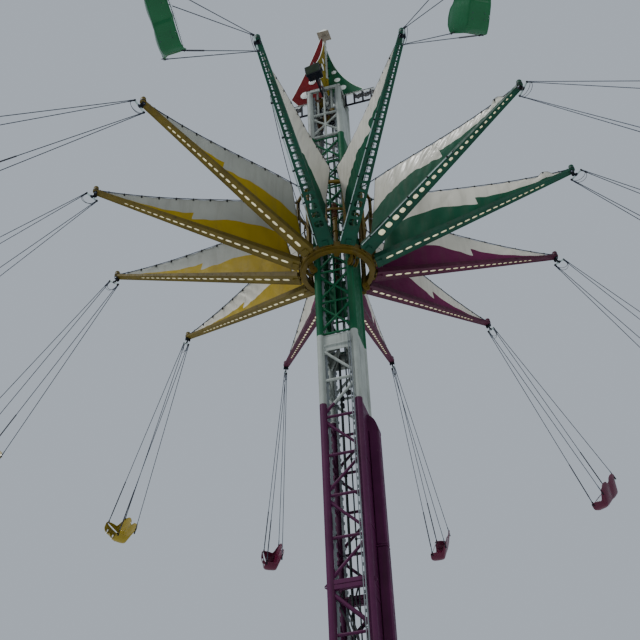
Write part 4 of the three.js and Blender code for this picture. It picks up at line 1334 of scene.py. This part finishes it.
def sail_trim(number, spoke, grid):
    """The hems, the hooks on the tie, and the lanyards at both ends of a sail."""
    trim = Shape(spoke)
    top = [column[-1] for column in grid]
    for line in (top, grid[0], grid[-1]):
        trim.tube(line, 0.006, 6)
    trim.tube([column[0] + Vector((0, 0, 0.005)) for column in grid[::4]], 0.005, 6)
    q = SAIL_FROM_HIGH + 0.03
    while q < SAIL_TO - 0.05:
        near = min(top, key=lambda p: abs(p.x - q))
        lean, z = near.y, tie_z(q)
        hook = [
            (lean, near.z - 0.02), (lean * 0.9 + 0.017, z - 0.05), (0.014, z + 0.004),
            (0, z + 0.015), (-0.014, z + 0.002), (-0.012, z - 0.022),
        ]
        trim.tube(smooth_curve([(q, *p) for p in hook], 16), 0.006, 6, 1)
        clip = (q - 0.02, lean - 0.006, near.z - 0.045), (q + 0.02, lean + 0.008, near.z + 0.008)
        trim.block(*clip, 1, 0.003)
        trim.block((q - 0.012, -0.016, z - 0.016), (q + 0.012, 0.016, z + 0.016), 1)
        q += HOOK_PITCH
    for v, z in ((1.0, 22.7), (0.66, 22.2), (0.33, 21.6)):
        start = grid[0][int(v * (len(grid[0]) - 1))]
        trim.tube([start, (1.0, 0.03 if start.y > 0 else -0.03, z)], 0.005, 6, 3)
        eyelet = basis(start, UP, (0, 1, 0))
        trim.turned(band(0.007, 0.014, -0.005, 0.005), eyelet, 14, 2)
    low = grid[-1][0].z
    trim.block((5.78, -0.02, low), (5.84, 0.02, low + 0.06), 2, 0.006)
    trim.tube([top[-1], (5.97, 0, tie_z(5.97) - 0.02)], 0.006, 6, 3)
    paints = [WEBBING, BLACK, STEEL, ROPE]
    return trim.make(f"sail_fittings_{number}", paints, "star", slot="banner_fabric")


def build_sail(n):
    number = f"{n + 1:02d}"
    spoke = around(270 + 30 * n)
    dice = random.Random(40 + n)
    belly, phase = dice.uniform(0.05, 0.085), dice.uniform(0, 5)
    stations = even(WAVE[0][0], WAVE[-1][0], WAVE_STEPS)
    stations += even(CREST[0][0], CREST[-1][0], CREST_STEPS)
    rows = COLOUR_ROWS + WHITE_ROWS + 1
    shape = Shape(spoke)
    grid, uvs = [], []
    for t in stations:
        edge = between(WAVE if t <= WAVE[-1][0] else CREST, t)
        heights = even(0, edge, COLOUR_ROWS) + even(edge, 1, WHITE_ROWS)[1:]
        made = [sail_point(n, t, v, belly, CREASED.get(n, 0.16), phase) for v in heights]
        grid.append([at for at, _ in made])
        uvs += [uv for _, uv in made]
        shape.verts += [spoke @ at for at in grid[-1]]
    for i in range(len(stations) - 1):
        for j in range(rows - 1):
            a, b = i * rows + j, (i + 1) * rows + j
            face = [a, b, b + 1, a + 1]
            shape.faces.append(face)
            shape.paints.append(0 if j < COLOUR_ROWS else 1)
            shape.uvs.append([uvs[k] for k in face])
    # Arms 10 to 12 take the shaded copy of the white cloth, as painted shade.
    paints = [SAIL_COLOUR[n // 4], SAIL_WHITE_SHADED if n > 8 else SAIL_WHITE]
    slot = "banner_fabric"
    sail = shape.make(f"sail_{number}", paints, "star", [f"banner_{number}"], slot, 180)
    skin = sail.modifiers.new("cloth", "SOLIDIFY")
    skin.thickness, skin.offset = 0.004, 0
    fittings = sail_trim(number, spoke, grid)

    flat = []
    for r, up in ((SAIL_FROM_LOW, 0), (SAIL_TO, 0), (SAIL_TO, 1), (SAIL_FROM_HIGH, 1)):
        low = boom_low(r) + boom_depth(r)
        flat.append((r, low + up * (tie_z(r) - SAIL_GAP - low)))
    pairs = zip(flat, flat[1:] + flat[:1])
    area = 0.5 * abs(sum(a[0] * b[1] - b[0] * a[1] for a, b in pairs))


for n in range(12):
    build_sail(n)


# Hangers and seats, drawn hanging plumb from a hinge at the origin

SEAT_LINE = (
    (0.264, -5.953), (0.23, -5.982), (0.15, -5.996), (0.03, -6.002), (-0.05, -5.998),
    (-0.1, -5.972), (-0.125, -5.905), (-0.165, -5.79), (-0.205, -5.68), (-0.245, -5.57),
    (-0.275, -5.485), (-0.303, -5.402),
)
ARM_LINE = (
    (0.26, -5.80), (0.244, -5.724), (0.15, -5.716), (0.03, -5.735), (-0.05, -5.762),
    (-0.09, -5.745), (-0.125, -5.70), (-0.16, -5.645), (-0.195, -5.59), (-0.232, -5.53),
    (-0.262, -5.465), (-0.295, -5.388),
)
BACK_FROM = 5
SHELL_THICK = 0.012
FLAT_SHARE, FLAT_HALF = 0.72, 0.44
HUMP = ((0, 0.76), (0.05, 0.79), (0.17, 0.95), (0.29, 1.0), (0.4, 0.97), (0.5, 0.87), (0.572, 0.74))
CROSSBAR_Z, CROSSBAR_END = -0.12, 0.18
HANGER_COATS = [BLACK, DULL_STEEL, ROPE, SLEEVE, CONDUIT]


def cable(shape, s, start, eye):
    """A wire rope from the crossbar to an eye of the seat, with its sleeves and its fork."""
    end = Vector((s * eye.x, eye.y, eye.z))
    way = (end - start).normalized()
    high, low = upright_on(start, way), upright_on(end, -way)
    shape.turned([(0.012, 0.0), (0.0145, 0.01), (0.0145, 0.04), (0.01, 0.055)], high, 16)
    shape.turned([(0.0105, 0.055), (0.0125, 0.06), (0.0125, 0.19), (0.0095, 0.205)], high, 16, 1)
    for m in (0.085, 0.115, 0.145):
        swage = [(0.0125, m), (0.0142, m + 0.004), (0.0142, m + 0.014), (0.0125, m + 0.018)]
        shape.turned(swage, high, 16, 1)
    shape.tube([start, end - way * 0.03], 0.009, 10, 2)
    shape.turned([(0.0085, 0.03), (0.013, 0.04), (0.013, 0.15), (0.009, 0.165)], low, 16, 1)
    if eye is FRONT_EYE:
        sleeve = [(0.009, 0.16), (0.0155, 0.163), (0.0155, 1.22), (0.009, 1.225)]
        shape.turned(sleeve, low, 16, 3)
    shape.turned([(0.0, 0.01), (0.015, 0.012), (0.015, 0.026), (0.009, 0.03)], low, 14)
    tine = [(-0.004, -0.024), (0.03, -0.014), (0.03, 0.014), (-0.004, 0.024)]
    for side in SIDES:
        shape.plate(tine, 0.005, basis(end, -way, UP) @ shift(-0.012, 0.011 * side, 0) @ standing())


def hanger():
    shape = Shape()
    barrel = [(0, 0.05), (0.024, 0.05), (0.028, 0.046)]
    barrel = [(r, -y) for r, y in barrel] + barrel[::-1]
    shape.turned(barrel, basis((0, 0, 0), (1, 0, 0), (0, 1, 0)), 24)
    neck = [(0.022, -0.112), (0.017, -0.075), (0.02, -0.03), (0.014, -0.01)]
    neck = [(-0.022, -0.112)] + neck + [(-x, z) for x, z in neck[:0:-1]]
    shape.plate(neck, 0.032, standing())
    shape.block((-0.03, -0.021, -0.14), (0.03, 0.021, -0.098), 0, 0.005)
    # The two pale sleeves on the dull crossbar stand partly for its pale paint and partly for a
    # painted highlight.
    for a, b, radius, coat in (
        (-0.165, 0.165, 0.019, 1), (-0.15, -0.05, 0.021, 4), (0.05, 0.15, 0.021, 4),
    ):
        shape.tube([(a, 0, CROSSBAR_Z), (b, 0, CROSSBAR_Z)], radius, 16, coat)
    cap = [(0, 0), (0.0235, 0), (0.0235, 0.03), (0.018, 0.037), (0, 0.037)]
    for s in SIDES:
        shape.turned(cap, basis((s * 0.163, 0, CROSSBAR_Z), UP, (s, 0, 0)), 20)
        end = s * CROSSBAR_END
        shape.block((end - 0.014, -0.026, -0.15), (end + 0.014, 0.026, -0.098), 0, 0.005)
        shape.plate([(s * 0.02, -0.105), (s * 0.1, -0.11), (s * 0.02, -0.06)], 0.01, standing())
        for y, eye in ((-0.012, REAR_EYE), (0.012, FRONT_EYE)):
            cable(shape, s, Vector((end, y, CROSSBAR_Z)), eye)
    for y, drop in ((-0.022, 0.2), (0.022, 0.25)):
        z = CROSSBAR_Z - 0.015
        half = [(0.178, y * 0.5, z), (0.17, y, z - drop * 0.6), (0.07, y, z - drop * 0.96)]
        hoop = [(-x, y, z) for x, y, z in half] + half[::-1]
        shape.tube(smooth_curve(hoop, 26), 0.0055)
    return shape


def along_line(line, t):
    t = min(max(t, 0), len(line) - 1 - 1e-6)
    i = int(t)
    near = [Vector(line[min(max(i + k, 0), len(line) - 1)]) for k in (-1, 0, 1, 2)]
    return spline(*near, t - i)


def seat_point(u, t):
    """A point of the shell. u runs across from -1 to 1, and t from the front lip to the top."""
    x = abs(u)
    across, lift = x / FLAT_SHARE * FLAT_HALF, 0.0
    if x >= FLAT_SHARE:
        k = (x - FLAT_SHARE) / (1 - FLAT_SHARE)
        across = FLAT_HALF + 0.118 * math.sin(min(1, k * 1.25) * math.pi / 2)
        lift = k ** 1.5
    if t > BACK_FROM:
        t = BACK_FROM + (t - BACK_FROM) * between(HUMP, across)
    p, q = along_line(SEAT_LINE, t), along_line(ARM_LINE, t)
    at = p + (q - p) * lift
    ridge = 0.03 * max(0, 1 - (across / 0.06) ** 2)
    dish = 0.012 * max(0, 1 - ((across - 0.27) / 0.2) ** 2)
    at.y += (ridge - dish) * max(0, min(1, (5.5 - t) / 2))
    if t > BACK_FROM:
        bow = 0.03 * math.sin(min(1, (t - BACK_FROM) / 5.6) * math.pi)
        at.x -= bow * max(0, 1 - ((across - 0.28) / 0.24) ** 2)
    return Vector((math.copysign(across, u), at.x, at.y))


def seat_shell():
    """The moulded shell and its rolled rim."""
    columns, lines = 48, 40
    wide = columns + 1
    rise = even(0, len(SEAT_LINE) - 1, lines)
    grid = [[seat_point(u, t) for u in even(-1, 1, columns)] for t in rise]
    verts, under = [], []
    for j in range(lines + 1):
        for i in range(wide):
            a = grid[j][min(i + 1, columns)] - grid[j][max(i - 1, 0)]
            b = grid[min(j + 1, lines)][i] - grid[max(j - 1, 0)][i]
            verts.append(grid[j][i])
            under.append(grid[j][i] - a.cross(b).normalized() * SHELL_THICK)
    count = len(verts)
    faces, uvs = [], []
    for j in range(lines):
        for i in range(columns):
            a, b = j * wide + i, (j + 1) * wide + i
            faces.append((a, a + 1, b + 1, b))
            uvs.append(tuple((verts[k].x, k // wide * 0.025) for k in faces[-1]))
    back = [tuple(count + k for k in reversed(face)) for face in faces]
    rim = [*range(wide), *(j * wide + columns for j in range(1, lines + 1))]
    rim += [lines * wide + i for i in range(columns - 1, -1, -1)]
    rim += [j * wide for j in range(lines - 1, 0, -1)]
    sides = [(a, a + count, b + count, b) for a, b in zip(rim, rim[1:] + rim[:1])]
    flat = [((0.0, 0.0),) * 4] * len(sides)
    shape = Shape()
    turned_uvs = [tuple(reversed(u)) for u in uvs]
    shape.add(verts + under, faces + back + sides, 0, uvs + turned_uvs + flat)
    shape.tube([(verts[k] + under[k]) / 2 for k in rim], 0.011, 10, closed=True)
    return shape


def seat_fittings():
    """The lap bar, its posts, the straps and pins at the four eyes, and the bolts underneath."""
    shape = Shape()
    half = [(0.55, 0.011), (0.4, 0.015), (0.2, 0.018), (0.0, 0.019)]
    half = [(-x, r) for x, r in half] + half[-2::-1]
    line = [(x, 0.224 + 0.012 * (1 - (x / 0.55) ** 2), -5.742) for x, _ in half]
    shape.tube(line, [r for _, r in half], 14)
    post = [
        (0.026, 0.0), (0.02, 0.006), (0.018, 0.08), (0.024, 0.09), (0.026, 0.108), (0.018, 0.122),
        (0, 0.126),
    ]
    for s in SIDES:
        hinge = basis((s * 0.552, 0.222, -5.745), UP, (0, 1, 0))
        shape.turned(band(0, 0.022, -0.03, 0.03), hinge, 20, 1)
        shape.turned(post, shift(s * 0.285, 0.238, -5.988), 20)
        for eye, drop in ((FRONT_EYE, 0.1), (REAR_EYE, 0.12)):
            x, y, z = s * eye.x, eye.y, eye.z
            strap = [(-0.017, 0.0), (-0.012, 0.012), (0.0, 0.0165), (0.012, 0.012), (0.017, 0.0)]
            strap += [(0.02, -drop), (-0.02, -drop)]
            across = standing() @ Matrix.Rotation(rad(90), 4, "Y")
            shape.plate(strap, 0.007, shift(x, y, z - 0.018) @ across, (), 1)
            pin = basis((x, y, z), UP, (s, 0, 0))
            shape.turned(band(0, 0.007, -0.015, 0.0165), pin, 12, 2)
            shape.turned(band(0, 0.0115, -0.0165, -0.01), pin, 6, 2)
            for dz in (-0.06, -0.09):
                shape.bolt((x + s * 0.0035, y, z + dz), (s, 0, 0), 0.008, 2, False)
    for x in (-0.3, 0.3):
        for y in (0.17, -0.04):
            for dx in (0.05, -0.05):
                shape.bolt((x + dx, y, -6.012), (0, 0, -1), 0.008, 2, False)
    return shape


def swing_frame(n):
    return (
        around(270 + 30 * n) @ shift(ARM_R, 0, HINGE_Z)
        @ around(-SWING_LAG[n]) @ Matrix.Rotation(-rad(SWING_OUT[n]), 4, "Y")
    )


def swings():
    hang = hanger().mesh("hanger", HANGER_COATS)
    fittings = seat_fittings().mesh("seat_fittings", [CHROME, BLACK, DULL_STEEL])
    shell = seat_shell()
    shells = [shell.mesh("seat_shell", [coat], 50) for coat in SHELL]
    for n in range(12):
        number, colour = f"{n + 1:02d}", COLOURS[n // 4]
        for name, mesh, nodes, slot in (
            ("hanger", hang, [f"cables_{number}"], "cable_steel"),
            ("seat_shell", shells[n // 4], [f"seat_{number}"], f"{colour}_shell"),
            ("seat_fittings", fittings, (), "cable_steel"),
        ):
            mesh = mesh.copy()
            mesh.transform(swing_frame(n))
            place(f"{name}_{number}", mesh, f"swing_{number}", nodes)


swings()


# Camera, floor and light

def aim_camera():
    """The photographer stands 21.2 m from the mast and looks up."""
    data = bpy.data.cameras.new("camera")
    data.sensor_width = 36
    data.lens = 1140.96 / 640 * 36
    data.clip_end = 400
    azimuth, yaw, pitch, roll = 13.8, -15.1303, 39.346, -2.492
    stand = around(azimuth) @ shift(0, -21.237, 1.6) @ around(-azimuth)
    tilt = Matrix.Rotation(rad(90 + pitch), 4, "X")
    camera = new_object("camera", data)
    camera.matrix_world = stand @ around(-yaw) @ tilt @ around(roll)
    bpy.context.scene.camera = camera


def studio():
    g = Graph("floor", Roughness=0.9)
    mesh = bpy.data.meshes.new("floor")
    corners = [(80 * x, 80 * y, -0.001) for x, y in ((-1, -1), (1, -1), (1, 1), (-1, 1))]
    mesh.from_pydata(corners, [], [(0, 1, 2, 3)])
    mesh.materials.append(g.done(g.mix(g.noise(0.2, 3), srgb(226, 228, 230), srgb(232, 234, 236))))
    new_object("floor", mesh)
    world = bpy.data.worlds.new("studio")
    world.use_nodes = True
    back = world.node_tree.nodes["Background"]
    back.inputs["Color"].default_value = srgb(206, 216, 228)
    back.inputs["Strength"].default_value = 0.7
    bpy.context.scene.world = world
    for name, azimuth, elevation, strength, width in (
        ("key", 215, 58, 2.8, 8), ("fill", 320, 25, 0.55, 30),
    ):
        data = bpy.data.lights.new(name, "SUN")
        data.energy = strength
        data.angle = rad(width)
        to_sun = around(azimuth) @ Matrix.Rotation(-rad(elevation), 4, "Y") @ Vector((1, 0, 0))
        new_object(name, data).matrix_world = upright_on((0, 0, 0), to_sun)


aim_camera()
studio()
